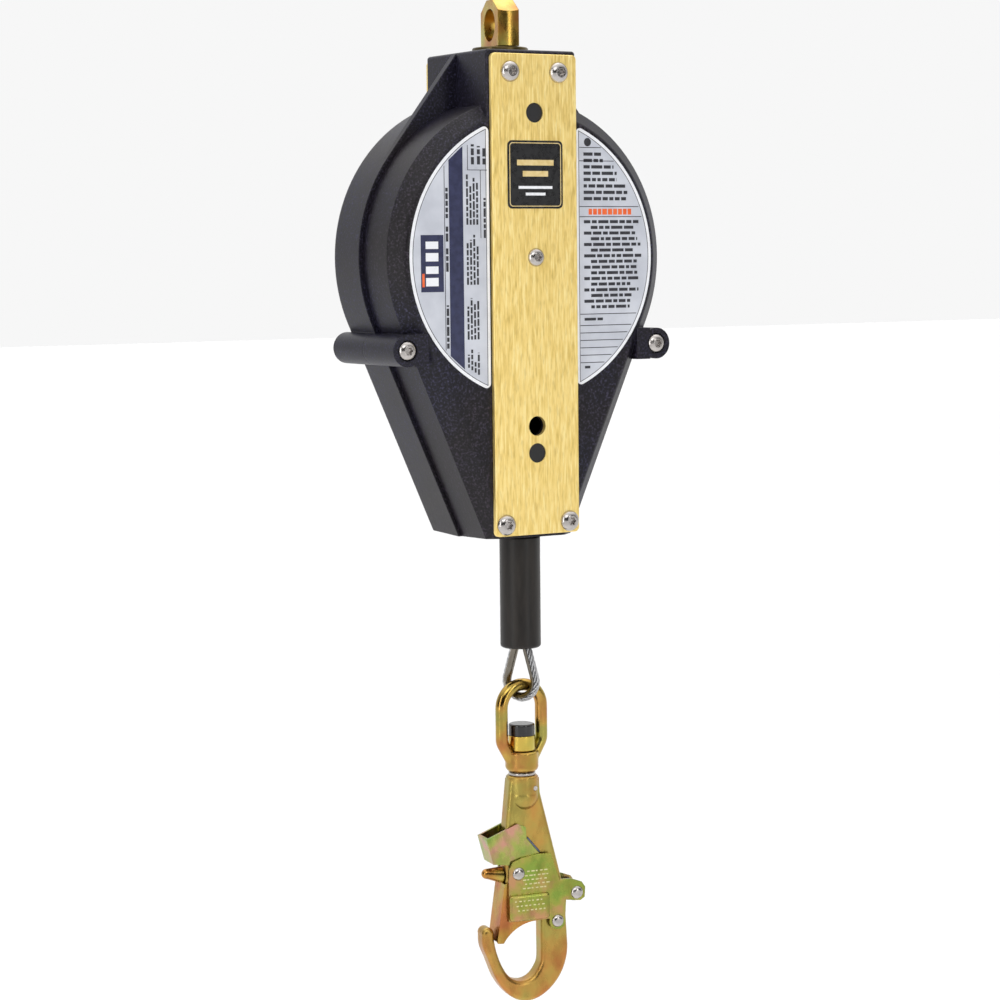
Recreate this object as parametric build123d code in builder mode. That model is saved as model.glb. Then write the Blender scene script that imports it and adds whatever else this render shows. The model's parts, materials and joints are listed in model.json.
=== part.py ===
from build123d import *
import os
from math import acos, atan2, cos, hypot, pi, radians, sin, tan

# Self retracting lifeline: a cable drum in a split plastic casing between two load plates, hung from a
# swivelling anchor eye. The cable leaves through the bottom and ends in an eye, a swivel and a snap hook.
# Millimetres. +Z is up, -Y is the front, and the origin is the centre of the anchor eye's hole.
# Depths are measured from the middle plane of the casing and are positive towards the front.

# ---- driving dimensions ----------------------------------------------------------------------------
# anchor eye
eye_hole_radius = 10.0
eye_bar_radius = 17.0
eye_thickness = 13.7
eye_height = 15.5            # above the hole centre
eye_chamfer_width = 12.0
eye_chamfer_height = 8.0
eye_turn = -100.4            # degrees about Z, where the eye stands at rest
stem_radius = 8.0
washer_radius = 17.3
washer_thick = 3.6
eye_to_casing = 17.5         # hole centre down to the casing's top

# casing
casing_height = 298.0
casing_depth = 75.0          # front face to rear face
wall = 3.2
neck_width = 63.0
neck_height = 60.0
neck_round = 2.0
drum_drop = 125.3            # casing top to drum axis
front_shell_radius = 97.5
rear_shell_radius = 100.5
front_base_width = 62.0
rear_base_width = 67.0
shell_draft = 1.5            # degrees
front_bevel = 8.6
bevel_round = 4.0
web_thick = 5.5
lug_spacing = 178.0
lug_drop = 54.6              # drum axis to lug axis
lug_radius = 9.7
lug_proud = 2.0

# side plates, their fasteners and trim
plate_width = 60.0
plate_thick = 3.0
plate_top_gap = 2.6
plate_bottom_gap = 2.8
plate_corner = 3.0
plate_edge = 0.4
screw_head_radius = 6.4
screw_head_height = 3.6
screw_radius = 3.0
lug_screw_radius = 2.5
lug_head_radius = 6.0
lug_counterbore = 1.5
lug_nut_radius = 4.6
nut_recess = 4.4
axle_screw_head_radius = 5.6
axle_thread_depth = 15.0
top_screw_spacing = 34.3
top_screw_drop = 13.5        # casing top to the upper screws
bottom_screw_spacing = 45.4
bottom_screw_rise = 9.9      # casing bottom to the lower screws
plate_hole_radius = 6.0
upper_hole_drop = 37.9       # casing top to the upper plate hole
middle_hole_drop = 228.3
lower_hole_drop = 244.9
badge_width = 39.0
badge_height = 41.0
badge_drop = 75.2
badge_thick = 0.4
label_radius = 86.0
label_edge = 31.0            # middle line to a label's straight edge
label_thick = 0.3

# cable, drum and power spring
cable_radius = 2.5
nozzle_radius = 7.0
cable_depth = 18.0           # the cable's plane, in front of the middle plane
channel_width = 22.0
flange_radius = 84.0
flange_thick = 2.0
hub_radius = 46.0
hub_wall = 4.0
coil_radius = 74.0
axle_radius = 8.0
bush_wall = 2.5
bush_length = 7.0
cup_radius = 74.0
cup_wall = 6.0
spring_width = 14.0
spring_strip = 0.9
spring_pitch = 4.2
spring_half_turns = 20
spring_gap = 0.3
arbor_radius = 20.0

# pawls and friction brake
cover_thick = 2.5
tooth_count = 12
tooth_tip_radius = 41.0
tooth_root_radius = 35.0
wheel_thick = 5.0
pawl_pivot_radius = 58.0
pawl_length = 30.0
pawl_rest_angle = 47.0       # between the pawl and the line to the drum axis, swung clear
pawl_pin_radius = 3.0
pawl_shoulder_radius = 5.0
pawl_boss_radius = 6.5
brake_radius = 30.0
lining_thick = 2.0
hub_sleeve_radius = 12.0

# cable end
bumper_radius = 12.7
bumper_length = 69.7
ferrule_length = 30.0
ferrule_wall = 1.6
loop_radius = 10.6           # cable centre line in the eye
loop_drop = 91.6             # casing bottom to the eye's centre
loop_turn = -60.0            # degrees from +X to the eye's own plane
thimble_gap = 0.15
thimble_thick = 0.65
bumper_bore_radius = 8.6

# swivel
bow_wire_radius = 3.9
bow_half_width = 14.4        # to the wire's centre line
bow_foot_half = 7.5
bow_leg_drop = 35.6          # wire top to where the legs turn in
collar_drop = 41.9           # wire top to the collar's top
collar_radius = 10.5
collar_height = 13.0
stud_radius = 5.0
nut_radius = 8.5
nut_height = 9.6
cap_radius = 8.2
cap_height = 7.5
boss_pin_radius = 1.5
boss_pin_offset = 5.5
boss_pin_drop = -7.8
stud_depth = 12.0

# snap hook
hook_turn = -8.4             # degrees about Z, where the hook's face stands at rest
hook_thick = 12.0
hook_edge = 2.8               # round of the forging's edges
horn_radius = 5.4
latch_ear_radius = 4.5
lever_ear_radius = 5.5
band_proud = 2.5
boss_radius = 10.2
gate_boss_radius = 6.0
sheet = 1.5                  # gate, latch and lock plates
lever_press = 5.0            # degrees that the lock lever can turn
gate_pin_radius = 2.5
latch_pin_radius = 2.0
lock_pin_radius = 2.2
lever_pin_radius = 2.4

# fits
running = 0.05               # radial clearance of a running fit
loose = 0.3                  # gap between parts that only pass each other
screw_clear = 0.2            # radial clearance of a screw's hole
swing_clear = 1.1            # gap between the cable eye and the bow that swings in it

# ---- places worked out from the sizes ----------------------------------------------------------------
casing_top = -eye_to_casing
casing_bottom = casing_top - casing_height
half_depth = casing_depth / 2
inner_depth = half_depth - wall
plate_face = half_depth + plate_thick
drum_z = casing_top - drum_drop
lug_x = lug_spacing / 2
lug_z = drum_z - lug_drop
front_screws = [(s * top_screw_spacing / 2, casing_top - top_screw_drop) for s in (-1, 1)]
front_screws += [(s * bottom_screw_spacing / 2, casing_bottom + bottom_screw_rise) for s in (-1, 1)]
plate_top = casing_top - plate_top_gap
plate_bottom = casing_bottom + plate_bottom_gap
upper_hole_z = casing_top - upper_hole_drop
middle_hole_z = casing_top - middle_hole_drop
lower_hole_z = casing_top - lower_hole_drop
badge_z = casing_top - badge_drop

channel_front = cable_depth + channel_width / 2
channel_rear = cable_depth - channel_width / 2
drum_front = channel_front + flange_thick
drum_rear = channel_rear - flange_thick
cup_rear = drum_rear - spring_width - 2 * loose - 1.7
cover_rear = cup_rear - cover_thick
bush_radius = axle_radius + running + bush_wall
run_radius = coil_radius + cable_radius + loose

hub_front = cover_rear - 0.5
hub_flange = 2.5
lining_front = hub_front - hub_flange
wheel_front = lining_front - lining_thick
wheel_rear = wheel_front - wheel_thick
lining_rear = wheel_rear - lining_thick
pressure_rear = lining_rear - hub_flange
disc_spring_rear = pressure_rear - 2.2
brake_nut_rear = -(inner_depth - 0.5)

block_bottom = casing_bottom + wall + 0.8
block_top = block_bottom + 13.5
nozzle_top = block_top + 2.0
run_bend_z = nozzle_top + 12.0
run_bend_radius = 36.0
tail_top = block_top - 2.0

bumper_top = casing_bottom - loose
bumper_bottom = bumper_top - bumper_length
ferrule_bottom = bumper_bottom + 7.5
ferrule_top = ferrule_bottom + ferrule_length
loop_z = casing_bottom - loop_drop
thimble_radius = cable_radius + thimble_gap + thimble_thick
bow_z = loop_z - (loop_radius - thimble_radius) + bow_wire_radius + swing_clear
collar_top = bow_z - collar_drop
collar_bottom = collar_top - collar_height
hook_top = collar_bottom - loose - 2.0
line_y = -cable_depth

hook_half = hook_thick / 2
gate_inner = hook_half + loose
gate_outer = gate_inner + sheet
plate_inner = gate_outer + loose
plate_outer = plate_inner + sheet

# places on the hook's face: sideways from the swivel axis, and down from the hook's top
gate_pivot = (-8.0, -73.5)
latch_pivot = (2.0, -55.4)
lever_pivot = (19.6, -93.9)
lock_pin_place = (-6.8, -61.2)
spacer_place = (33.0, -77.0)
bowl_bottom = (1.5, -145.0)


# ---- helpers -------------------------------------------------------------------------------------------
def at_depth(depth):
    """The casing's own upright plane, that far in front of its middle."""
    return Plane.XZ.offset(depth)


def upright_plane(turn, level=0.0):
    """An upright plane through the cable's line, turned about it, with its origin at a level."""
    across = (cos(radians(turn)), sin(radians(turn)), 0)
    facing = (sin(radians(turn)), -cos(radians(turn)), 0)
    return Plane(origin=(0, line_y, level), x_dir=across, z_dir=facing)


def tangent_point(radius, corner_x, corner_z):
    """Where the straight side from a corner touches the drum's circle, on the +X side."""
    away = atan2(corner_z - drum_z, corner_x)
    swing = acos(radius / hypot(corner_x, corner_z - drum_z))
    angle = away + swing if corner_z < drum_z else away - swing
    return radius * cos(angle), drum_z + radius * sin(angle)


def drum_outline(radius, base_half, bottom):
    """Round over the drum, with straight sides that taper to the casing's bottom."""
    with Locations((0, drum_z)):
        Circle(radius)
    side_x, side_z = tangent_point(radius, base_half, bottom)
    Polygon((side_x, side_z), (base_half, bottom), (-base_half, bottom), (-side_x, side_z), align=None)


def neck_outline(width, top):
    """The block above the drum that holds the anchor."""
    with Locations((0, top - neck_height / 2)):
        Rectangle(width, neck_height)


def round_bar(x, z, radius, rear, front):
    """A bar or, in subtract mode, a hole that runs from one depth to another."""
    with BuildSketch(at_depth(rear)) as section:
        with Locations((x, z)):
            Circle(radius)
    extrude(section.sketch, amount=front - rear)


def drill(x, z, radius, rear, front):
    """A hole that runs from one depth to another."""
    with BuildSketch(at_depth(rear)) as section:
        with Locations((x, z)):
            Circle(radius)
    extrude(section.sketch, amount=front - rear, mode=Mode.SUBTRACT)


def ring(outer, inner, rear, front):
    """A ring about the drum's axis."""
    with BuildSketch(at_depth(rear)) as section:
        with Locations((0, drum_z)):
            Circle(outer)
            Circle(inner, mode=Mode.SUBTRACT)
    extrude(section.sketch, amount=front - rear)


def button_screw(x, z, seat, facing, head, height, shank, length):
    """A button-head screw with a six-lobed socket, on a depth. Its head faces front (1) or rear (-1)."""
    start = Plane(origin=(x, -seat, z), x_dir=(1, 0, 0), z_dir=(0, 0, 1))
    out = -facing
    with BuildSketch(start) as dome:
        with BuildLine():
            Line((0, 0), (head, 0))
            rim = (head, out * 0.18 * height)
            Line((head, 0), rim)
            ThreePointArc(rim, (0.82 * head, out * 0.68 * height), (0.5 * head, out * height))
            Polyline((0.5 * head, out * height), (0, out * height), (0, 0))
        make_face()
    revolve(dome.sketch, axis=Axis((x, -seat, z), (0, 1, 0)))
    with BuildSketch(at_depth(seat + facing * height)) as socket:
        with Locations((x, z)):
            Circle(0.33 * head)
            with PolarLocations(0.33 * head, 6):
                Circle(0.1 * head)
    extrude(socket.sketch, amount=-facing * 0.62 * height, mode=Mode.SUBTRACT)
    with BuildSketch(at_depth(seat)) as body:
        with Locations((x, z)):
            Circle(shank)
    extrude(body.sketch, amount=-facing * length)


def hook_bar(place, radius, low, high):
    """A round bar square to the hook's face, from one distance to another in front of its middle."""
    with BuildSketch(hook_face.offset(low)) as section:
        with Locations(place):
            Circle(radius)
    extrude(section.sketch, amount=high - low)


def hook_hole(place, radius):
    """A hole right through whatever stands on the hook's face."""
    with BuildSketch(hook_face.offset(-20)) as section:
        with Locations(place):
            Circle(radius)
    extrude(section.sketch, amount=40, mode=Mode.SUBTRACT)


def rivet_head(place, radius, height, seat, facing):
    """A domed rivet head on a face that far from the hook's middle."""
    centre = hook_face.offset(facing * seat)
    spot = centre.from_local_coords((place[0], place[1], 0))
    section = Plane(origin=spot, x_dir=hook_face.x_dir, z_dir=hook_face.y_dir)
    rise = facing * height
    with BuildSketch(section) as dome:
        with BuildLine():
            Line((0, 0), (radius, 0))
            ThreePointArc((radius, 0), (0.8 * radius, -0.62 * rise), (0.3 * radius, -rise))
            Polyline((0.3 * radius, -rise), (0, -rise), (0, 0))
        make_face()
    revolve(dome.sketch, axis=Axis(spot, hook_face.z_dir))


hook_face = upright_plane(hook_turn, hook_top)
loop_face = upright_plane(loop_turn, loop_z)
bow_face = upright_plane(0)
eye_face = Plane(
    origin=(0, 0, 0),
    x_dir=(cos(radians(eye_turn)), sin(radians(eye_turn)), 0),
    z_dir=(sin(radians(eye_turn)), -cos(radians(eye_turn)), 0),
)
finished = []

# ---- anchor --------------------------------------------------------------------------------------------
eye_bottom = casing_top + washer_thick + 0.1 + loose
neck_roof = casing_top - wall
anchor_block_bottom = neck_roof - 19.7
thrust_bottom = anchor_block_bottom - 2.0
anchor_nut_height = 8.0
anchor_nut_top = thrust_bottom - loose
anchor_nut_bottom = anchor_nut_top - anchor_nut_height

with BuildPart() as anchor_eye:
    with BuildSketch(eye_face):
        shoulder = eye_height - eye_chamfer_height
        flat = eye_bar_radius - eye_chamfer_width
        Polygon(
            (-eye_bar_radius, eye_bottom),
            (eye_bar_radius, eye_bottom),
            (eye_bar_radius, shoulder),
            (flat, eye_height),
            (-flat, eye_height),
            (-eye_bar_radius, shoulder),
            align=None,
        )
    extrude(amount=eye_thickness / 2, both=True)
    with BuildSketch(Plane.XY.offset(eye_bottom)):
        Circle(eye_bar_radius)
    extrude(amount=eye_height - eye_bottom, mode=Mode.INTERSECT)
    with BuildSketch(eye_face):
        Circle(eye_hole_radius)
    extrude(amount=eye_thickness, both=True, mode=Mode.SUBTRACT)
    with BuildSketch(Plane.XY.offset(eye_bottom)):
        Circle(stem_radius)
    extrude(amount=anchor_nut_bottom - 2.0 - eye_bottom)
anchor_eye.part.label = "anchor_eye"
finished.append(anchor_eye.part)

with BuildPart() as anchor_nut:
    with BuildSketch(Plane.XY.offset(anchor_nut_bottom)):
        RegularPolygon(14.0, 6)
        Circle(stem_radius, mode=Mode.SUBTRACT)
    extrude(amount=anchor_nut_height)
anchor_nut.part.label = "anchor_nut"
finished.append(anchor_nut.part)

with BuildPart() as anchor_washer:
    with BuildSketch(Plane.XY.offset(casing_top + 0.1)):
        Circle(washer_radius)
        Circle(stem_radius + running, mode=Mode.SUBTRACT)
    extrude(amount=washer_thick)
    chamfer(anchor_washer.edges().group_by(Axis.Z)[-1].sort_by(SortBy.LENGTH)[-1], 0.6)
anchor_washer.part.label = "anchor_washer"
finished.append(anchor_washer.part)

with BuildPart() as anchor_block:
    with BuildSketch(Plane.XY.offset(anchor_block_bottom)):
        Rectangle(48, 2 * inner_depth)
        Circle(stem_radius + running, mode=Mode.SUBTRACT)
    extrude(amount=neck_roof - anchor_block_bottom)
    for x, z in front_screws[:2]:
        drill(x, z, screw_radius, -inner_depth, -inner_depth + 14)
        drill(x, z, screw_radius, inner_depth - 14, inner_depth)
anchor_block.part.label = "anchor_block"
finished.append(anchor_block.part)

with BuildPart() as thrust_washer:
    with BuildSketch(Plane.XY.offset(thrust_bottom)):
        Circle(13.5)
        Circle(stem_radius + running, mode=Mode.SUBTRACT)
    extrude(amount=anchor_block_bottom - thrust_bottom)
thrust_washer.part.label = "thrust_washer"
finished.append(thrust_washer.part)

# ---- casing --------------------------------------------------------------------------------------------
front_base_half = front_base_width / 2
rear_base_half = rear_base_width / 2
lug_seat = half_depth + lug_proud - lug_counterbore


def lugs(rear, front):
    """The two screw bosses beside the drum, with a foot that meets the shell."""
    with BuildSketch(at_depth(rear)) as section:
        for side in (-1, 1):
            with Locations((side * lug_x, lug_z)):
                Circle(lug_radius)
            with Locations((side * (lug_x - lug_radius), lug_z)):
                Rectangle(lug_radius, 2 * lug_radius)
    extrude(section.sketch, amount=front - rear)


def casing_holes():
    """What passes through both shells: the axle, the stem, the screws and the lug screws."""
    drill(0, drum_z, axle_radius + running, -half_depth, half_depth)
    for x, z in front_screws:
        drill(x, z, screw_radius + screw_clear, -half_depth, half_depth)
    for side in (-1, 1):
        drill(side * lug_x, lug_z, lug_screw_radius + screw_clear, -half_depth - 9, half_depth + 9)
    with BuildSketch(Plane.XY.offset(neck_roof - 0.5)) as stem_hole:
        Circle(stem_radius + loose)
    extrude(stem_hole.sketch, amount=wall + 1, mode=Mode.SUBTRACT)


with BuildPart() as front_neck:
    with BuildSketch(at_depth(0)):
        neck_outline(neck_width, casing_top)
    extrude(amount=half_depth)
    outer_face = front_neck.faces().sort_by(Axis.Y)[0]
    top_face = front_neck.faces().sort_by(Axis.Z)[-1]
    top_edges = top_face.edges().filter_by(Axis.Y) + top_face.edges().group_by(Axis.Y)[0]
    fillet(outer_face.edges().filter_by(Axis.Z) + top_edges, neck_round)

with BuildPart() as rear_neck:
    with BuildSketch(at_depth(0)):
        neck_outline(neck_width, casing_top)
    extrude(amount=-half_depth)
    outer_face = rear_neck.faces().sort_by(Axis.Y)[-1]
    top_face = rear_neck.faces().sort_by(Axis.Z)[-1]
    top_edges = top_face.edges().filter_by(Axis.Y) + top_face.edges().group_by(Axis.Y)[-1]
    fillet(outer_face.edges().filter_by(Axis.Z) + top_edges, neck_round)



def rim_of_front():
    """The edges round the front face of the part being built, but for the one along its bottom."""
    rim = faces().sort_by(Axis.Y)[0].edges()
    return rim - rim.group_by(Axis.Z)[0]


with BuildPart() as front_cavity:
    with BuildSketch(at_depth(0)):
        drum_outline(front_shell_radius - wall, front_base_half - wall, casing_bottom + wall)
    extrude(amount=inner_depth)
    chamfer(rim_of_front(), front_bevel)

with BuildPart() as front_housing:
    with BuildSketch(at_depth(0)):
        drum_outline(front_shell_radius, front_base_half, casing_bottom)
    extrude(amount=half_depth, taper=shell_draft)
    chamfer(rim_of_front(), front_bevel)
    fillet(rim_of_front(), bevel_round)
    add(front_neck.part)
    lugs(0, half_depth + lug_proud)
    add(front_cavity.part, mode=Mode.SUBTRACT)
    with BuildSketch(at_depth(0)):
        neck_outline(neck_width - 2 * wall, neck_roof)
    extrude(amount=inner_depth, mode=Mode.SUBTRACT)
    casing_holes()
    drill(0, upper_hole_z, plate_hole_radius, inner_depth - 1, half_depth)
    drill(0, middle_hole_z, plate_hole_radius, inner_depth - 1, half_depth)
    for side in (-1, 1):
        drill(side * lug_x, lug_z, lug_head_radius + loose, lug_seat, half_depth + lug_proud)
    with BuildSketch(Plane.XY.offset(casing_bottom)):
        with Locations((0, line_y)):
            Circle(nozzle_radius + 0.1)
    extrude(amount=wall + 0.5, mode=Mode.SUBTRACT)
front_housing.part.label = "front_housing"
finished.append(front_housing.part)

with BuildPart() as rear_housing:
    with BuildSketch(at_depth(0)):
        drum_outline(rear_shell_radius, rear_base_half, casing_bottom)
    extrude(amount=-half_depth, taper=shell_draft)
    fillet(rear_housing.faces().sort_by(Axis.Y)[-1].edges(), 5.0)
    add(rear_neck.part)
    with BuildSketch(at_depth(0)):
        web_x, web_z = tangent_point(rear_shell_radius, neck_width / 2, casing_top - 1)
        Polygon(
            (web_x, web_z),
            (neck_width / 2, casing_top - 1),
            (-neck_width / 2, casing_top - 1),
            (-web_x, web_z),
            (0, drum_z),
            align=None,
        )
    extrude(amount=-web_thick)
    lugs(-half_depth - lug_proud, 0)
    with BuildSketch(at_depth(0)):
        drum_outline(front_shell_radius - wall, front_base_half - wall, casing_bottom + wall)
        neck_outline(neck_width - 2 * wall, neck_roof)
    extrude(amount=-inner_depth, mode=Mode.SUBTRACT)
    casing_holes()
    with BuildSketch(at_depth(-half_depth - lug_proud)):
        for side in (-1, 1):
            with Locations((side * lug_x, lug_z)):
                RegularPolygon(lug_nut_radius + loose, 6)
    extrude(amount=nut_recess, mode=Mode.SUBTRACT)
rear_housing.part.label = "rear_housing"
finished.append(rear_housing.part)

# ---- side plates and what they carry -------------------------------------------------------------------
with BuildPart() as front_side_plate:
    with BuildSketch(at_depth(half_depth)):
        with Locations((0, (plate_top + plate_bottom) / 2)):
            RectangleRounded(plate_width, plate_top - plate_bottom, plate_corner)
    extrude(amount=plate_thick)
    chamfer(front_side_plate.faces().sort_by(Axis.Y)[0].outer_wire().edges(), plate_edge)
    for x, z in front_screws:
        drill(x, z, screw_radius + screw_clear, half_depth, plate_face)
    for z in (upper_hole_z, middle_hole_z, lower_hole_z):
        drill(0, z, plate_hole_radius, half_depth, plate_face)
    drill(0, drum_z, screw_radius + screw_clear, half_depth, plate_face)
front_side_plate.part.label = "front_side_plate"
finished.append(front_side_plate.part)

with BuildPart() as rear_side_plate:
    with BuildSketch(at_depth(-half_depth)):
        with Locations((0, (plate_top + plate_bottom) / 2)):
            RectangleRounded(plate_width, plate_top - plate_bottom, plate_corner)
    extrude(amount=-plate_thick)
    chamfer(rear_side_plate.faces().sort_by(Axis.Y)[-1].outer_wire().edges(), plate_edge)
    for x, z in front_screws:
        drill(x, z, screw_radius + screw_clear, -plate_face, -half_depth)
    drill(0, drum_z, screw_radius + screw_clear, -plate_face, -half_depth)
rear_side_plate.part.label = "rear_side_plate"
finished.append(rear_side_plate.part)

plate_screw_length = plate_thick + wall + 11.0
with BuildPart() as plate_screws:
    for x, z in front_screws:
        for facing in (1, -1):
            head = (facing * plate_face, facing, screw_head_radius, screw_head_height)
            button_screw(x, z, *head, screw_radius, plate_screw_length)
plate_screws.part.label = "plate_screws"
finished.append(plate_screws.part)

axle_screw_length = plate_thick + axle_thread_depth - 1.0
with BuildPart() as axle_screws:
    for facing in (1, -1):
        seat = facing * plate_face
        button_screw(0, drum_z, seat, facing, axle_screw_head_radius, 3.2, screw_radius, axle_screw_length)
axle_screws.part.label = "axle_screws"
finished.append(axle_screws.part)

lug_screw_length = lug_seat + half_depth
with BuildPart() as lug_screws:
    for side in (-1, 1):
        button_screw(side * lug_x, lug_z, lug_seat, 1, lug_head_radius, 3.4, lug_screw_radius, lug_screw_length)
lug_screws.part.label = "lug_screws"
finished.append(lug_screws.part)

with BuildPart() as lug_nuts:
    with BuildSketch(at_depth(nut_recess - half_depth - lug_proud)):
        for side in (-1, 1):
            with Locations((side * lug_x, lug_z)):
                RegularPolygon(lug_nut_radius, 6)
                Circle(lug_screw_radius, mode=Mode.SUBTRACT)
    extrude(amount=-4.0)
lug_nuts.part.label = "lug_nuts"
finished.append(lug_nuts.part)

with BuildPart() as hole_plugs:
    round_bar(0, upper_hole_z, plate_hole_radius, inner_depth, plate_face - 1.0)
    round_bar(0, lower_hole_z, plate_hole_radius, half_depth, plate_face - 0.8)
hole_plugs.part.label = "hole_plugs"
finished.append(hole_plugs.part)

with BuildPart() as badge:
    with BuildSketch(at_depth(plate_face)):
        with Locations((0, badge_z)):
            RectangleRounded(badge_width, badge_height, plate_corner)
    extrude(amount=badge_thick)
badge.part.label = "badge"
finished.append(badge.part)

for side, name in ((-1, "label_left"), (1, "label_right")):
    with BuildPart() as label:
        with BuildSketch(at_depth(half_depth)) as segment:
            with Locations((0, drum_z)):
                Circle(label_radius)
            with Locations((side * (label_edge - label_radius), drum_z)):
                Rectangle(2 * label_radius, 2.2 * label_radius, mode=Mode.SUBTRACT)
            fillet(segment.vertices(), plate_corner)
        extrude(amount=label_thick)
    label.part.label = name
    finished.append(label.part)

with BuildPart() as nozzle_block:
    with BuildSketch(at_depth(-inner_depth)):
        with Locations((0, (block_bottom + block_top) / 2)):
            Rectangle(bottom_screw_spacing + 8.6, block_top - block_bottom)
    extrude(amount=2 * inner_depth)
    chamfer(nozzle_block.faces().sort_by(Axis.Y)[0].edges().filter_by(Axis.Z), front_bevel)
    for x, z in front_screws[2:]:
        drill(x, z, screw_radius, -inner_depth, -inner_depth + 14)
        drill(x, z, screw_radius, inner_depth - 14, inner_depth)
    with BuildSketch(Plane.XY.offset(block_bottom)):
        with Locations((0, line_y)):
            Circle(nozzle_radius)
    extrude(amount=block_top - block_bottom, mode=Mode.SUBTRACT)
nozzle_block.part.label = "nozzle_block"
finished.append(nozzle_block.part)

with BuildPart() as cable_nozzle:
    with BuildSketch(Plane.XY.offset(casing_bottom)):
        with Locations((0, line_y)):
            Circle(nozzle_radius)
    extrude(amount=nozzle_top - casing_bottom)
    with BuildSketch(Plane.XY.offset(block_top)):
        with Locations((0, line_y)):
            Circle(nozzle_radius + 3.0)
    extrude(amount=nozzle_top - block_top)
    with BuildSketch(Plane.XY.offset(casing_bottom)):
        with Locations((0, line_y)):
            Circle(cable_radius + 0.9)
    extrude(amount=nozzle_top - casing_bottom, mode=Mode.SUBTRACT)
    mouth = cable_nozzle.faces().sort_by(Axis.Z)[-1].inner_wires()[0].edges()
    chamfer(mouth, 1.8)
cable_nozzle.part.label = "cable_nozzle"
finished.append(cable_nozzle.part)

# ---- axle, drum and power spring -----------------------------------------------------------------------
with BuildPart() as main_axle:
    round_bar(0, drum_z, axle_radius, -half_depth, half_depth)
    drill(0, drum_z, screw_radius, half_depth - axle_thread_depth, half_depth)
    drill(0, drum_z, screw_radius, -half_depth, -half_depth + axle_thread_depth)
main_axle.part.label = "main_axle"
finished.append(main_axle.part)

with BuildPart() as cable_drum:
    ring(bush_radius + 4.5, bush_radius, drum_rear, drum_front)
    ring(hub_radius, bush_radius + 4, cable_depth - 2, cable_depth + 2)
    ring(hub_radius, hub_radius - hub_wall, drum_rear, drum_front)
    ring(flange_radius, hub_radius - 1, channel_front, drum_front)
    ring(flange_radius, bush_radius + 4, drum_rear, channel_rear)
    ring(cup_radius, cup_radius - cup_wall, cup_rear, drum_rear)
    with BuildSketch(at_depth(cable_depth - 2)):
        with Locations((0, drum_z)):
            with PolarLocations((bush_radius + hub_radius) / 2, 6):
                Circle(6.0)
    extrude(amount=4, mode=Mode.SUBTRACT)
cable_drum.part.label = "cable_drum"
finished.append(cable_drum.part)

with BuildPart() as drum_bushes:
    ring(bush_radius, axle_radius + running, drum_front - bush_length, drum_front)
    ring(bush_radius + 3, axle_radius + running, drum_front, drum_front + 1.2)
    ring(bush_radius, axle_radius + running, drum_rear, drum_rear + bush_length)
drum_bushes.part.label = "drum_bushes"
finished.append(drum_bushes.part)

wraps = int(channel_width / (2 * cable_radius + 0.1))
wrap_pitch = (channel_width - 2 * loose) / wraps
wrap_rear = line_y - channel_width / 2 + loose
wrap_valley = coil_radius - 1.2
with BuildPart() as lifeline_coil:
    with BuildSketch(Plane.XY.offset(drum_z)):
        with BuildLine():
            wrap_front = wrap_rear + wraps * wrap_pitch
            Line((wrap_valley, wrap_rear), (hub_radius, wrap_rear))
            Polyline((hub_radius, wrap_rear), (hub_radius, wrap_front), (wrap_valley, wrap_front))
            for turn in range(wraps):
                low = wrap_rear + turn * wrap_pitch
                crest = (coil_radius, low + wrap_pitch / 2)
                ThreePointArc((wrap_valley, low), crest, (wrap_valley, low + wrap_pitch))
        make_face()
    revolve(axis=Axis((0, 0, drum_z), (0, 1, 0)))
lifeline_coil.part.label = "lifeline_coil"
finished.append(lifeline_coil.part)

stop_radius = 4.2
stop_length = 14.0
with BuildPart() as cable_stop:
    stop_x = ((hub_radius - hub_wall) ** 2 - stop_length**2 / 4) ** 0.5 - stop_radius - 0.1
    with BuildSketch(Plane.XY.offset(drum_z - stop_length / 2)):
        with Locations((stop_x, line_y + 6.5)):
            Circle(stop_radius)
    extrude(amount=stop_length)
cable_stop.part.label = "cable_stop"
finished.append(cable_stop.part)

with BuildPart() as spring_arbor:
    ring(arbor_radius, axle_radius, cup_rear + 0.4, drum_rear - 0.4)
    with BuildSketch(at_depth(cup_rear)):
        with Locations((-arbor_radius, drum_z)):
            Rectangle(8, 2)
    extrude(amount=drum_rear - cup_rear, mode=Mode.SUBTRACT)
spring_arbor.part.label = "spring_arbor"
finished.append(spring_arbor.part)

spring_rear = cup_rear + (drum_rear - cup_rear - spring_width) / 2
spring_outer = cup_radius - cup_wall - spring_gap + spring_pitch / 4 - spring_strip / 2
spring_inner = spring_outer - spring_half_turns * spring_pitch / 2
with BuildPart() as power_spring:
    with BuildSketch(at_depth(spring_rear)):
        for turn in range(spring_half_turns):
            side = -1 if turn % 2 else 1
            centre = -side * spring_pitch / 4
            inside = spring_inner + turn * spring_pitch / 2 - spring_strip / 2
            outside = inside + spring_strip
            with BuildLine():
                CenterArc((centre, drum_z), outside, 180 * (turn % 2), 180)
                CenterArc((centre, drum_z), inside, 180 * (turn % 2), 180)
                Line((centre + side * inside, drum_z), (centre + side * outside, drum_z))
                Line((centre - side * inside, drum_z), (centre - side * outside, drum_z))
            make_face()
    extrude(amount=spring_width)
power_spring.part.label = "power_spring"
finished.append(power_spring.part)

with BuildPart() as spring_cover:
    ring(cup_radius, axle_radius + 0.6, cover_rear, cup_rear)
    with BuildSketch(at_depth(cover_rear)):
        with Locations((0, drum_z)):
            with PolarLocations(cup_radius - cup_wall / 2, 6, start_angle=30):
                Circle(1.6)
    extrude(amount=cover_thick, mode=Mode.SUBTRACT)
spring_cover.part.label = "spring_cover"
finished.append(spring_cover.part)

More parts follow.
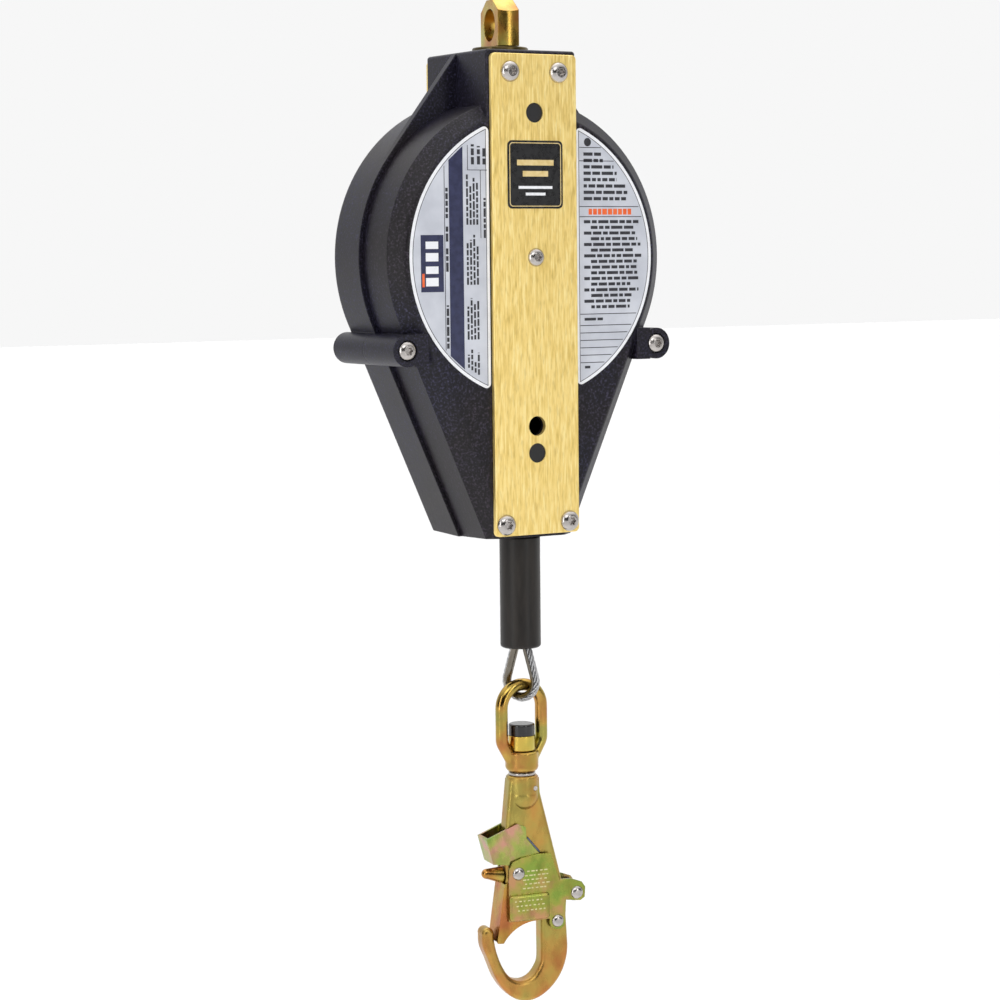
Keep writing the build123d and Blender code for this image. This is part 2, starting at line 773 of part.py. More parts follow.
with BuildPart() as cover_screws:
    with BuildSketch(at_depth(cover_rear)):
        with Locations((0, drum_z)):
            with PolarLocations(cup_radius - cup_wall / 2, 6, start_angle=30):
                Circle(2.8)
    extrude(amount=-2.0)
    with BuildSketch(at_depth(cover_rear)):
        with Locations((0, drum_z)):
            with PolarLocations(cup_radius - cup_wall / 2, 6, start_angle=30):
                Circle(1.5)
    extrude(amount=cover_thick)
cover_screws.part.label = "cover_screws"
finished.append(cover_screws.part)

# ---- pawls, ratchet wheel and friction brake -----------------------------------------------------------
with BuildPart() as brake_hub:
    ring(brake_radius, axle_radius, lining_front, hub_front)
    ring(hub_sleeve_radius, axle_radius, brake_nut_rear, lining_front)
brake_hub.part.label = "brake_hub"
finished.append(brake_hub.part)

with BuildPart() as friction_discs:
    ring(brake_radius, hub_sleeve_radius + running, wheel_front + 0.05, lining_front)
    ring(brake_radius, hub_sleeve_radius + running, lining_rear, wheel_rear - 0.05)
friction_discs.part.label = "friction_discs"
finished.append(friction_discs.part)

engaged_reach = tooth_root_radius + 2.0
pawl_gap = pawl_pivot_radius**2 + pawl_length**2 - engaged_reach**2
engaged_angle = acos(pawl_gap / (2 * pawl_pivot_radius * pawl_length))
nose_x = pawl_pivot_radius - pawl_length * cos(engaged_angle)
nose_z = -pawl_length * sin(engaged_angle)
tooth_phase = atan2(nose_z, nose_x) - radians(4.8)
with BuildPart() as ratchet_wheel:
    with BuildSketch(at_depth(wheel_rear)):
        rim = []
        for tooth in range(tooth_count):
            face = tooth_phase + 2 * pi * tooth / tooth_count
            foot = face - 0.8 * 2 * pi / tooth_count
            rim.append((tooth_root_radius * cos(foot), drum_z + tooth_root_radius * sin(foot)))
            rim.append((tooth_tip_radius * cos(face), drum_z + tooth_tip_radius * sin(face)))
            rim.append((tooth_root_radius * cos(face), drum_z + tooth_root_radius * sin(face)))
        Polygon(*rim, align=None)
        with Locations((0, drum_z)):
            Circle(hub_sleeve_radius + running, mode=Mode.SUBTRACT)
    extrude(amount=wheel_thick)
ratchet_wheel.part.label = "ratchet_wheel"
finished.append(ratchet_wheel.part)

with BuildPart() as pressure_plate:
    ring(brake_radius, hub_sleeve_radius + running, pressure_rear, lining_rear)
pressure_plate.part.label = "pressure_plate"
finished.append(pressure_plate.part)

with BuildPart() as disc_spring:
    with BuildSketch(Plane.XY.offset(drum_z)):
        near = hub_sleeve_radius + 0.4
        far = brake_radius - 2
        Polygon(
            (near, -disc_spring_rear - 1.2),
            (far, -pressure_rear),
            (far, -pressure_rear + 1.2),
            (near, -disc_spring_rear),
            align=None,
        )
    revolve(axis=Axis((0, 0, drum_z), (0, 1, 0)))
disc_spring.part.label = "disc_spring"
finished.append(disc_spring.part)

with BuildPart() as brake_nut:
    with BuildSketch(at_depth(brake_nut_rear)):
        with Locations((0, drum_z)):
            RegularPolygon(19.0, 6)
            Circle(hub_sleeve_radius, mode=Mode.SUBTRACT)
    extrude(amount=disc_spring_rear - brake_nut_rear)
brake_nut.part.label = "brake_nut"
finished.append(brake_nut.part)

pawl_clear = loose / 2
with BuildPart() as pawl_pins:
    for side in (1, -1):
        pivot_x = side * pawl_pivot_radius
        round_bar(pivot_x, drum_z, pawl_shoulder_radius, wheel_front + pawl_clear, cover_rear)
        round_bar(pivot_x, drum_z, pawl_pin_radius, wheel_rear - pawl_clear, cover_rear)
        round_bar(pivot_x, drum_z, pawl_pin_radius + 1.6, wheel_rear - 2.0, wheel_rear - pawl_clear)
pawl_pins.part.label = "pawl_pins"
finished.append(pawl_pins.part)

for side, name in ((1, "pawl_right"), (-1, "pawl_left")):
    rest = radians(180 + pawl_rest_angle) if side == 1 else radians(pawl_rest_angle)
    pivot = (side * pawl_pivot_radius, -wheel_rear, drum_z)
    pawl_plane = Plane(origin=pivot, x_dir=(cos(rest), 0, sin(rest)), z_dir=(0, -1, 0))
    with BuildPart() as pawl:
        with BuildSketch(pawl_plane):
            Circle(pawl_boss_radius)
            Polygon(
                (0, -pawl_boss_radius),
                (pawl_length, 0),
                (pawl_length, pawl_boss_radius),
                (0.7 * pawl_length, 1.3 * pawl_boss_radius),
                (0, pawl_boss_radius),
                align=None,
            )
            with Locations((-pawl_boss_radius, 0)):
                SlotOverall(2.4 * pawl_boss_radius, 1.5 * pawl_boss_radius)
            Circle(pawl_pin_radius + running, mode=Mode.SUBTRACT)
        extrude(amount=wheel_thick)
    pawl.part.label = name
    finished.append(pawl.part)

with BuildPart() as pawl_springs:
    with BuildSketch(at_depth(wheel_front + loose + pawl_clear)):
        for side in (1, -1):
            with Locations((side * pawl_pivot_radius, drum_z)):
                Circle(pawl_shoulder_radius + 1.4)
                Circle(pawl_shoulder_radius + 0.2, mode=Mode.SUBTRACT)
            with Locations((side * pawl_pivot_radius, drum_z + side * (pawl_shoulder_radius + 4))):
                Rectangle(1.2, 6.4)
    extrude(amount=cover_rear - wheel_front - loose - pawl_clear)
pawl_springs.part.label = "pawl_springs"
finished.append(pawl_springs.part)

# ---- the cable's free end ------------------------------------------------------------------------------
run_start = tangent_point(run_radius, 0, run_bend_z)
with BuildPart() as lifeline_inner_run:
    with BuildLine(at_depth(cable_depth)) as run_path:
        FilletPolyline(run_start, (0, run_bend_z), (0, tail_top), radius=run_bend_radius)
    with BuildSketch(Plane(origin=run_path.line @ 0, z_dir=run_path.line % 0)):
        Circle(cable_radius)
    sweep(path=run_path.line)
lifeline_inner_run.part.label = "lifeline_inner_run"
finished.append(lifeline_inner_run.part)

with BuildPart() as lifeline_tail:
    with BuildSketch(Plane.XY.offset(ferrule_top)):
        with Locations((0, line_y)):
            Circle(cable_radius)
    extrude(amount=tail_top - ferrule_top)
lifeline_tail.part.label = "lifeline_tail"
finished.append(lifeline_tail.part)

leg_half = cable_radius + thimble_gap
ferrule_plane = Plane(origin=(0, line_y, ferrule_bottom), x_dir=loop_face.x_dir, z_dir=(0, 0, 1))
with BuildPart() as ferrule:
    with BuildSketch(ferrule_plane):
        SlotCenterToCenter(2 * leg_half, 2 * (cable_radius + ferrule_wall))
    extrude(amount=ferrule_length)
    fillet(ferrule.faces().sort_by(Axis.Z)[-1].edges(), 0.8)
ferrule.part.label = "ferrule"
finished.append(ferrule.part)

with BuildPart() as bumper:
    with BuildSketch(Plane.XY.offset(bumper_bottom)):
        with Locations((0, line_y)):
            Circle(bumper_radius)
    extrude(amount=bumper_length)
    fillet(bumper.edges().group_by(Axis.Z)[0], 2.0)
    fillet(bumper.edges().group_by(Axis.Z)[-1], 0.8)
    with BuildSketch(Plane.XY.offset(bumper_bottom)):
        with Locations((0, line_y)):
            Circle(bumper_bore_radius)
    extrude(amount=ferrule_top - bumper_bottom, mode=Mode.SUBTRACT)
    with BuildSketch(Plane.XY.offset(ferrule_top)):
        with Locations((0, line_y)):
            Circle(cable_radius + loose)
    extrude(amount=bumper_top - ferrule_top, mode=Mode.SUBTRACT)
bumper.part.label = "bumper"
finished.append(bumper.part)

leg_rise = ferrule_bottom - loop_z
leg_angle = atan2(leg_rise, leg_half) - acos(loop_radius / hypot(leg_rise, leg_half))
leg_touch = (loop_radius * cos(leg_angle), loop_radius * sin(leg_angle))
loop_sweep = -(pi + 2 * leg_angle) * 180 / pi
leg_spare = 1.0
leg_slope = (leg_touch[0] - leg_half) / (leg_rise - leg_touch[1])
leg_top_x = leg_half - leg_spare * leg_slope
thimble_rise = bumper_bottom - loop_z + 2.0
thimble_share = (thimble_rise - leg_touch[1]) / (leg_rise - leg_touch[1])
thimble_x = leg_touch[0] + thimble_share * (leg_half - leg_touch[0])
with BuildPart() as lifeline_eye:
    with BuildLine(loop_face) as eye_path:
        Line((leg_top_x, leg_rise + leg_spare), leg_touch)
        CenterArc((0, 0), loop_radius, leg_angle * 180 / pi, loop_sweep)
        Line((-leg_touch[0], leg_touch[1]), (-leg_top_x, leg_rise + leg_spare))
    eye_line = eye_path.wires()[0]
    with BuildSketch(Plane(origin=eye_line @ 0, z_dir=eye_line % 0)):
        Circle(cable_radius)
    sweep(path=eye_line)
    split(bisect_by=Plane.XY.offset(ferrule_bottom), keep=Keep.BOTTOM)
lifeline_eye.part.label = "lifeline_eye"
finished.append(lifeline_eye.part)

with BuildPart() as thimble:
    with BuildLine(loop_face) as thimble_path:
        Line((thimble_x, thimble_rise), leg_touch)
        CenterArc((0, 0), loop_radius, leg_angle * 180 / pi, loop_sweep)
        Line((-leg_touch[0], leg_touch[1]), (-thimble_x, thimble_rise))
    thimble_line = thimble_path.wires()[0]
    thimble_start = loop_face.from_local_coords((thimble_x, thimble_rise, 0))
    with BuildSketch(Plane(origin=thimble_start, x_dir=loop_face.z_dir, z_dir=thimble_line % 0)):
        Circle(thimble_radius)
        Circle(cable_radius + thimble_gap, mode=Mode.SUBTRACT)
        with Locations((0, -thimble_radius)):
            Rectangle(3 * thimble_radius, 2 * thimble_radius, mode=Mode.SUBTRACT)
    sweep(path=thimble_line)
thimble.part.label = "thimble"
finished.append(thimble.part)

# ---- swivel --------------------------------------------------------------------------------------------
leg_turn_z = bow_z - bow_leg_drop
with BuildPart() as swivel_bow:
    with BuildLine(bow_face) as bow_path:
        FilletPolyline(
            (-bow_foot_half, collar_top - 5.5),
            (-bow_half_width, leg_turn_z),
            (-bow_half_width, bow_z),
            (bow_half_width, bow_z),
            (bow_half_width, leg_turn_z),
            (bow_foot_half, collar_top - 5.5),
            radius=[8.0, bow_half_width - 0.1, bow_half_width - 0.1, 8.0],
        )
    with BuildSketch(Plane(origin=bow_path.line @ 0, z_dir=bow_path.line % 0)):
        Circle(bow_wire_radius)
    sweep(path=bow_path.line)
    with BuildSketch(bow_face):
        with BuildLine():
            Polyline((0, collar_bottom), (0, collar_top), (collar_radius - 1, collar_top))
            Line((collar_radius - 1, collar_top), (collar_radius, collar_top - 1))
            Line((collar_radius, collar_top - 1), (collar_radius, collar_bottom + 4))
            waist = (collar_radius - 0.6, collar_bottom + 1.5)
            ThreePointArc((collar_radius, collar_bottom + 4), waist, (collar_radius - 2.5, collar_bottom))
            Line((collar_radius - 2.5, collar_bottom), (0, collar_bottom))
        make_face()
    revolve(axis=Axis((0, line_y, 0), (0, 0, 1)))
    with BuildSketch(Plane.XY.offset(collar_top)):
        with Locations((0, line_y)):
            Circle(nut_radius + 0.5)
    extrude(amount=bow_leg_drop / 2, mode=Mode.SUBTRACT)
    with BuildSketch(Plane.XY.offset(collar_bottom)):
        with Locations((0, line_y)):
            Circle(stud_radius + running)
    extrude(amount=collar_height, mode=Mode.SUBTRACT)
swivel_bow.part.label = "swivel_bow"
finished.append(swivel_bow.part)

nut_bottom = collar_top + loose
nut_top = nut_bottom + nut_height
with BuildPart() as swivel_stud:
    with BuildSketch(Plane.XY.offset(hook_top - stud_depth)):
        with Locations((0, line_y)):
            Circle(stud_radius)
    extrude(amount=nut_top - 0.5 - hook_top + stud_depth)
    hook_hole((boss_pin_offset, boss_pin_drop), boss_pin_radius)
swivel_stud.part.label = "swivel_stud"
finished.append(swivel_stud.part)

with BuildPart() as swivel_nut:
    with BuildSketch(Plane.XY.offset(nut_bottom)):
        with Locations((0, line_y)):
            Circle(nut_radius)
    extrude(amount=nut_height)
    chamfer(swivel_nut.edges().group_by(Axis.Z)[0], 0.6)
    with BuildSketch(Plane.XY.offset(nut_bottom)):
        with Locations((0, line_y)):
            Circle(stud_radius)
    extrude(amount=nut_height - 0.5, mode=Mode.SUBTRACT)
swivel_nut.part.label = "swivel_nut"
finished.append(swivel_nut.part)

with BuildPart() as swivel_cap:
    with BuildSketch(Plane.XY.offset(nut_top)):
        with Locations((0, line_y)):
            Circle(cap_radius)
    extrude(amount=cap_height)
    fillet(swivel_cap.edges().group_by(Axis.Z)[-1], 1.2)
    fillet(swivel_cap.edges().group_by(Axis.Z)[0], 0.4)
swivel_cap.part.label = "swivel_cap"
finished.append(swivel_cap.part)

with BuildPart() as swivel_washer:
    with BuildSketch(Plane.XY.offset(hook_top)):
        with Locations((0, line_y)):
            Circle(nut_radius)
            Circle(stud_radius, mode=Mode.SUBTRACT)
    extrude(amount=collar_bottom - loose - hook_top)
    fillet(swivel_washer.edges().filter_by(GeomType.CIRCLE).sort_by(SortBy.RADIUS)[-2:], 0.6)
swivel_washer.part.label = "swivel_washer"
finished.append(swivel_washer.part)

# ---- snap hook -----------------------------------------------------------------------------------------
arm_outside = (-25.6, -116.0)
arm_slope = (-0.37, 1)
tip_left = -29.6
tip_right = -21.9
throat = 10.2
back = 28.6
lock_reach = hypot(lock_pin_place[0] - lever_pivot[0], lock_pin_place[1] - lever_pivot[1])
lock_start = atan2(lock_pin_place[1] - lever_pivot[1], lock_pin_place[0] - lever_pivot[0])
lock_end = lock_start + radians(lever_press)
lock_pressed = (lever_pivot[0] + lock_reach * cos(lock_end), lever_pivot[1] + lock_reach * sin(lock_end))
with BuildPart() as hook_body:
    with BuildSketch(hook_face) as outline:
        with BuildLine():
            Line((tip_left, -103.0), (tip_left, -100.0))
            ThreePointArc((tip_left, -100.0), (-25.8, -95.0), (tip_right, -98.4))
            Spline(
                (tip_right, -98.4),
                (-19.4, -113.2),
                (-15.4, -122.6),
                (-10.0, -129.2),
                (-3.6, -131.6),
                (4.6, -129.0),
                (9.2, -122.6),
                (throat, -114.0),
                tangents=[(0, -1), (0, 1)],
            )
            Polyline(
                (throat, -114.0),
                (throat, -86.0),
                (-6.0, gate_pivot[1] - gate_boss_radius),
                (-14.0, gate_pivot[1]),
                (-14.0, -44.0),
                (-12.3, -24.5),
                (-boss_radius + 0.2, -2.0),
                (boss_radius - 0.2, -2.0),
                (boss_radius + 0.2, -11.4),
                (24.2, -66.4),
                (26.8, -83.0),
                (27.9, -99.0),
                (back, -111.0),
            )
            Spline(
                (back, -111.0),
                (26.2, -124.6),
                (17.1, -138.0),
                bowl_bottom,
                (-10.7, -140.8),
                (-19.6, -130.2),
                arm_outside,
                tangents=[(0, -1), arm_slope],
            )
            Spline(arm_outside, (tip_left, -103.0), tangents=[arm_slope, (0, 1)])
        make_face()
        with Locations(gate_pivot):
            Circle(gate_boss_radius)
        fillet(outline.vertices().sort_by_distance(hook_face.from_local_coords((throat, -86.0, 0)))[0], 8.0)
    extrude(amount=hook_half, both=True)
    faces = hook_body.faces().filter_by(GeomType.PLANE).sort_by(SortBy.AREA)[-2:]
    fillet(faces[0].edges() + faces[1].edges(), hook_edge)
    boss_face = Plane(origin=(0, line_y, hook_top), x_dir=hook_face.x_dir, z_dir=hook_face.z_dir)
    with BuildSketch(boss_face):
        with BuildLine():
            Polyline((0, -23.5), (0, 0), (boss_radius - 1, 0), (boss_radius, -1), (boss_radius, -11.4))
            ThreePointArc((boss_radius, -11.4), (7.6, -20.0), (0, -23.5))
        make_face()
    revolve(axis=Axis((0, line_y, 0), (0, 0, 1)))
    with BuildSketch(Plane.XY.offset(hook_top - stud_depth)):
        with Locations((0, line_y)):
            Circle(stud_radius)
    extrude(amount=stud_depth, mode=Mode.SUBTRACT)
    hook_hole((boss_pin_offset, boss_pin_drop), boss_pin_radius)
    hook_hole(gate_pivot, gate_pin_radius)
    hook_hole(latch_pivot, latch_pin_radius)
    hook_hole(lever_pivot, lever_pin_radius)
    with BuildSketch(hook_face.offset(-20)):
        with Locations(lock_pin_place, lock_pressed):
            Circle(lock_pin_radius + 0.4)
        with Locations(((lock_pin_place[0] + lock_pressed[0]) / 2, (lock_pin_place[1] + lock_pressed[1]) / 2)):
            travel = (lock_pressed[0] - lock_pin_place[0], lock_pressed[1] - lock_pin_place[1])
            slot_turn = atan2(travel[1], travel[0]) * 180 / pi
            Rectangle(hypot(*travel), 2 * (lock_pin_radius + 0.4), rotation=slot_turn)
    extrude(amount=40, mode=Mode.SUBTRACT)
    with BuildSketch(hook_face):
        with Locations(gate_pivot):
            Circle(gate_boss_radius + 0.4)
    extrude(amount=2.2, both=True, mode=Mode.SUBTRACT)
hook_body.part.label = "hook_body"
finished.append(hook_body.part)

with BuildPart() as hook_pins:
    hook_bar((boss_pin_offset, boss_pin_drop), boss_pin_radius, -8.4, 8.6)
    hook_bar(gate_pivot, gate_pin_radius, -gate_outer - 0.15, gate_outer + 0.15)
    hook_bar(latch_pivot, latch_pin_radius, -gate_outer - 0.15, gate_outer + 0.15)
hook_pins.part.label = "hook_pins"
finished.append(hook_pins.part)

with BuildPart() as gate:
    for low in (gate_inner, -gate_outer):
        with BuildSketch(hook_face.offset(low)):
            with BuildLine():
                Line((-15.6, -67.4), (-20.8, -104.0))
                Polyline((-20.8, -104.0), (-20.3, -105.0), (-16.6, -105.2))
                ThreePointArc((-16.6, -105.2), (-9.4, -97.6), (3.9, -92.8))
                Polyline((3.9, -92.8), (10.5, -92.4), (11.0, -80.0), (-4.0, -68.4))
                Polyline((-4.0, -68.4), (-8.9, -67.1), (-15.6, -67.4))
            make_face()
            with Locations(gate_pivot):
                Circle(gate_boss_radius + 0.5)
        extrude(amount=sheet)
    with BuildSketch(hook_face.offset(-gate_outer)):
        Polygon(
            (-15.6, -67.4),
            (-20.8, -104.0),
            (-20.8 + sheet, -104.2),
            (-15.6 + sheet, -67.4 - sheet * 2.6),
            (-15.6 + 0.9, -67.4),
            align=None,
        )
    extrude(amount=2 * gate_outer)
    horn_root = hook_face.from_local_coords((-14.8, -63.0, 0))
    horn_plane = Plane(origin=horn_root, x_dir=hook_face.z_dir, z_dir=-hook_face.x_dir)
    with BuildSketch(horn_plane) as root:
        Circle(horn_radius)
    with BuildSketch(horn_plane.offset(10.0)) as end:
        with Locations((0, 1.6)):
            Circle(3.2)
    loft(sections=[root.sketch, end.sketch])
    tip_place = hook_face.from_local_coords((-24.8, -61.4, 0))
    with Locations(tip_place):
        Sphere(3.2)
    hook_hole(gate_pivot, gate_pin_radius + running)
gate.part.label = "gate"
finished.append(gate.part)

with BuildPart() as gate_spring:
    with BuildSketch(hook_face.offset(-1.8)):
        with Locations(gate_pivot):
            Circle(4.5)
            Circle(gate_pin_radius + 0.2, mode=Mode.SUBTRACT)
    extrude(amount=3.6)
    with BuildSketch(hook_face.offset(-0.7)):
        Polygon((-12.3, -75.0), (-11.2, -76.2), (-17.3, -92.0), (-17.05, -90.6), align=None)
    extrude(amount=1.4)
gate_spring.part.label = "gate_spring"
finished.append(gate_spring.part)

with BuildPart() as thumb_latch:
    for low in (gate_inner, -gate_outer):
        with BuildSketch(hook_face.offset(low)):
            Polygon(
                (-27.5, -37.9),
                (-6.5, -29.6),
                (-1.0, -32.1),
                (-0.4, -39.5),
                (7.8, -49.3),
                (6.4, -56.4),
                (1.0, -59.8),
                (-15.2, -55.1),
                (-23.1, -54.1),
                align=None,
            )
            with Locations(latch_pivot):
                Circle(latch_ear_radius)
        extrude(amount=sheet)
    with BuildSketch(hook_face.offset(-gate_outer)):
        Polygon(
            (-27.5, -37.9),
            (-23.1, -54.1),
            (-23.1 + sheet, -54.1),
            (-27.5 + sheet, -37.4),
            align=None,
        )
    extrude(amount=2 * gate_outer)
    hook_hole(latch_pivot, latch_pin_radius + running)
thumb_latch.part.label = "thumb_latch"
finished.append(thumb_latch.part)

wire = 0.7
edge_x = 8.2
edge_z = -9.8
edge = hypot(edge_x, edge_z)
wire_shift_x = -edge_z / edge * wire
wire_shift_z = edge_x / edge * wire
wire_start = hook_face.from_local_coords((-0.4 + wire_shift_x, -39.5 + wire_shift_z, gate_inner + sheet / 2))
wire_end = hook_face.from_local_coords((7.8 + wire_shift_x, -49.3 + wire_shift_z, gate_inner + sheet / 2))
with BuildPart() as latch_spring:
    with BuildLine() as wire_path:
        Line(wire_start, wire_end)
    with BuildSketch(Plane(origin=wire_start, z_dir=wire_path.line % 0)):
        Circle(wire)
    sweep(path=wire_path.line)
latch_spring.part.label = "latch_spring"
finished.append(latch_spring.part)

for facing, name in ((1, "lock_plate_front"), (-1, "lock_plate_rear")):
    with BuildPart() as lock_plate:
        with BuildSketch(hook_face.offset(facing * plate_inner)):
            Polygon(
                (-13.3, -58.3),
                (-10.8, -53.4),
                (-4.7, -51.4),
                (7.0, -49.7),
                (15.3, -50.1),
                (21.0, -67.4),
                (29.0, -67.7),
                (36.3, -70.4),
                (38.7, -73.9),
                (38.3, -80.4),
                (35.2, -82.3),
                (25.4, -81.0),
                (24.8, -93.0),
                (14.4, -92.0),
                (-13.6, -91.4),
                (-13.6, -74.5),
                align=None,
            )
            with Locations(lever_pivot):
                Circle(lever_ear_radius)
        extrude(amount=facing * sheet)
        with BuildSketch(hook_face.offset(facing * (plate_outer - 0.4))):
            with Locations((-0.05, -82.75)):
                RectangleRounded(27.1, 16.5, 2.0)
        extrude(amount=facing * (band_proud + 0.4))
        outward = Axis((0, line_y, 0), hook_face.z_dir * facing)
        crown = lock_plate.faces().filter_by(GeomType.PLANE).sort_by(outward)[-1]
        fillet(crown.edges(), 1.6)
        hook_hole(lever_pivot, lever_pin_radius + running)
        hook_hole(lock_pin_place, lock_pin_radius)
        hook_hole(spacer_place, lock_pin_radius)
    lock_plate.part.label = name
    finished.append(lock_plate.part)

with BuildPart() as lever_pivot_pin:
    hook_bar(lever_pivot, lever_pin_radius, -plate_outer - 0.1, plate_outer + 0.1)
    rivet_head(lever_pivot, 4.0, 1.8, plate_outer + 0.1, 1)
    rivet_head(lever_pivot, 4.0, 1.8, plate_outer + 0.1, -1)
    hook_bar(lever_pivot, 4.2, hook_half, plate_inner - running)
    hook_bar(lever_pivot, 4.2, running - plate_inner, -hook_half)
lever_pivot_pin.part.label = "lever_pivot_pin"
finished.append(lever_pivot_pin.part)

with BuildPart() as lock_pins:
    for place in (lock_pin_place, spacer_place):
        hook_bar(place, lock_pin_radius, -plate_outer, plate_outer)
        rivet_head(place, 4.2, 1.9, plate_outer, 1)
        rivet_head(place, 4.2, 1.9, plate_outer, -1)
    hook_bar(spacer_place, 3.0, -plate_inner, plate_inner)
lock_pins.part.label = "lock_pins"
finished.append(lock_pins.part)

with BuildPart() as lever_spring:
    for low in (-5.4, -3.0, -0.6, 1.8, 4.2):
        with BuildSketch(hook_face.offset(low)):
            with Locations(spacer_place):
                Circle(6.0)
                Circle(5.1, mode=Mode.SUBTRACT)
        extrude(amount=1.6)
    with BuildSketch(hook_face.offset(-5.4)):
        with Locations((spacer_place[0] - 5.4, spacer_place[1] - 2.5)):
            Rectangle(1.2, 5.0)
    extrude(amount=11.2)
lever_spring.part.label = "lever_spring"
finished.append(lever_spring.part)

os.makedirs("parts", exist_ok=True)
for shape in finished:
    export_step(shape, f"parts/{shape.label}.step")
    print(shape.label, round(shape.volume), shape.is_valid, len(shape.solids()))
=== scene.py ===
import json
from math import acos, atan2, cos, hypot, pi, radians, sin

import bmesh
import bpy
from mathutils import Matrix, Vector, noise


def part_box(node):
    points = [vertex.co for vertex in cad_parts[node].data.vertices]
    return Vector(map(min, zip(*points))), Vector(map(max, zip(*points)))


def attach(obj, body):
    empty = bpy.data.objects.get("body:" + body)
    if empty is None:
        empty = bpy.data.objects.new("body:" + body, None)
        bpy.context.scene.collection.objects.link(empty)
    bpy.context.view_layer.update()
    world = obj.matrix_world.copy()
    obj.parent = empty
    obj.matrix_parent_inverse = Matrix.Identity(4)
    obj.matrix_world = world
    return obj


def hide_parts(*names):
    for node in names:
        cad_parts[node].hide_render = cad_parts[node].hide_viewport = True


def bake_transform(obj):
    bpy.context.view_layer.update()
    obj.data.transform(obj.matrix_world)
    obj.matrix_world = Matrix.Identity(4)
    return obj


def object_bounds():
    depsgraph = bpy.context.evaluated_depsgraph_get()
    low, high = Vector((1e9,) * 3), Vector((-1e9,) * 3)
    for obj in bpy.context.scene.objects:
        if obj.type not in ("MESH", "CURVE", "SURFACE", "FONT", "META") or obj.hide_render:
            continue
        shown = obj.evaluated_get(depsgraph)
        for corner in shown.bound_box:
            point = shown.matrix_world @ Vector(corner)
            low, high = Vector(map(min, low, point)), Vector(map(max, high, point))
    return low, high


# Looks for the self retracting lifeline. Metres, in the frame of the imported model: +Z up, -Y front, and the
# origin at the centre of the anchor eye's hole.

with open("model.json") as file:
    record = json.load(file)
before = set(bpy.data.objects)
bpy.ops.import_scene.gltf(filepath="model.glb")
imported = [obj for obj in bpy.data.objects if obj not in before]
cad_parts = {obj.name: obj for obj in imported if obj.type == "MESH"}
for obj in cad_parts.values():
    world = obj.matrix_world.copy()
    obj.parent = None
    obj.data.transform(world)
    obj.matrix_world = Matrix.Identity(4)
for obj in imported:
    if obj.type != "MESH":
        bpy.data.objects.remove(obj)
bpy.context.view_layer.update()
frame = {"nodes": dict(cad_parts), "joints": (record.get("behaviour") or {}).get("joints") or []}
nodes = frame["nodes"]
MM = 0.001


# ---- places read from the frame --------------------------------------------------------------------------
def low(node):
    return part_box(node)[0]


def high(node):
    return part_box(node)[1]


def middle(node):
    return (low(node) + high(node)) / 2


drum_centre = middle("cable_drum")
line_y = middle("bumper").y
payout = next(joint for joint in frame["joints"] if joint["name"] == "lifeline_payout")
lifeline_reach = payout["range_m"][1]


# ---- camera ----------------------------------------------------------------------------------------------
def make_camera():
    azimuth = radians(-30.426)
    elevation = radians(5.503)
    roll = radians(-0.598)
    aim = Vector((-0.00336, 0, -0.2944))
    distance = 1.6154
    focal_length = 2.5709           # in widths of the sensor
    back = Vector((sin(azimuth) * cos(elevation), -cos(azimuth) * cos(elevation), sin(elevation)))
    level = Vector((cos(azimuth), sin(azimuth), 0))
    upright = back.cross(level)
    right = level * cos(roll) + upright * sin(roll)
    up = upright * cos(roll) - level * sin(roll)
    place = aim + back * distance
    data = bpy.data.cameras.new("photo_camera")
    data.sensor_width = 36
    data.lens = focal_length * data.sensor_width
    camera = bpy.data.objects.new("photo_camera", data)
    turn = Matrix((right, up, back)).transposed().to_4x4()
    camera.matrix_world = Matrix.Translation(place) @ turn
    bpy.context.scene.collection.objects.link(camera)
    bpy.context.scene.camera = camera


# ---- light and floor -------------------------------------------------------------------------------------
def area_light(name, place, aim, size, power):
    data = bpy.data.lights.new(name, "AREA")
    data.shape = "RECTANGLE"
    data.size = size[0]
    data.size_y = size[1]
    data.energy = power
    lamp = bpy.data.objects.new(name, data)
    lamp.location = place
    lamp.rotation_euler = (Vector(aim) - Vector(place)).to_track_quat("-Z", "Y").to_euler()
    bpy.context.scene.collection.objects.link(lamp)


def make_world():
    """White behind the object and overhead, and dim behind the viewer, as the metal mirrors it."""
    world = bpy.data.worlds.new("studio")
    bpy.context.scene.world = world
    bpy.context.scene.view_settings.view_transform = "Standard"
    world.use_nodes = True
    tree = world.node_tree
    direction = tree.nodes.new("ShaderNodeTexCoord").outputs["Generated"]

    def brightness(towards, start, end, least, most):
        share = tree.nodes.new("ShaderNodeVectorMath")
        share.operation = "DOT_PRODUCT"
        share.inputs[1].default_value = towards
        tree.links.new(direction, share.inputs[0])
        spread = tree.nodes.new("ShaderNodeMapRange")
        spread.inputs["From Min"].default_value = start
        spread.inputs["From Max"].default_value = end
        spread.inputs["To Min"].default_value = least
        spread.inputs["To Max"].default_value = most
        tree.links.new(share.outputs["Value"], spread.inputs["Value"])
        return spread.outputs["Result"]

    total = tree.nodes.new("ShaderNodeMath")
    total.operation = "ADD"
    behind_object = brightness((0.506, 0.862, 0), start=-0.35, end=0.6, least=0.03, most=0.93)
    overhead = brightness((0, 0, 1), start=0.45, end=0.85, least=0.0, most=1.25)
    tree.links.new(behind_object, total.inputs[0])
    tree.links.new(overhead, total.inputs[1])
    background = tree.nodes["Background"]
    background.inputs["Color"].default_value = (1.0, 1.0, 1.0, 1)
    tree.links.new(total.outputs["Value"], background.inputs["Strength"])


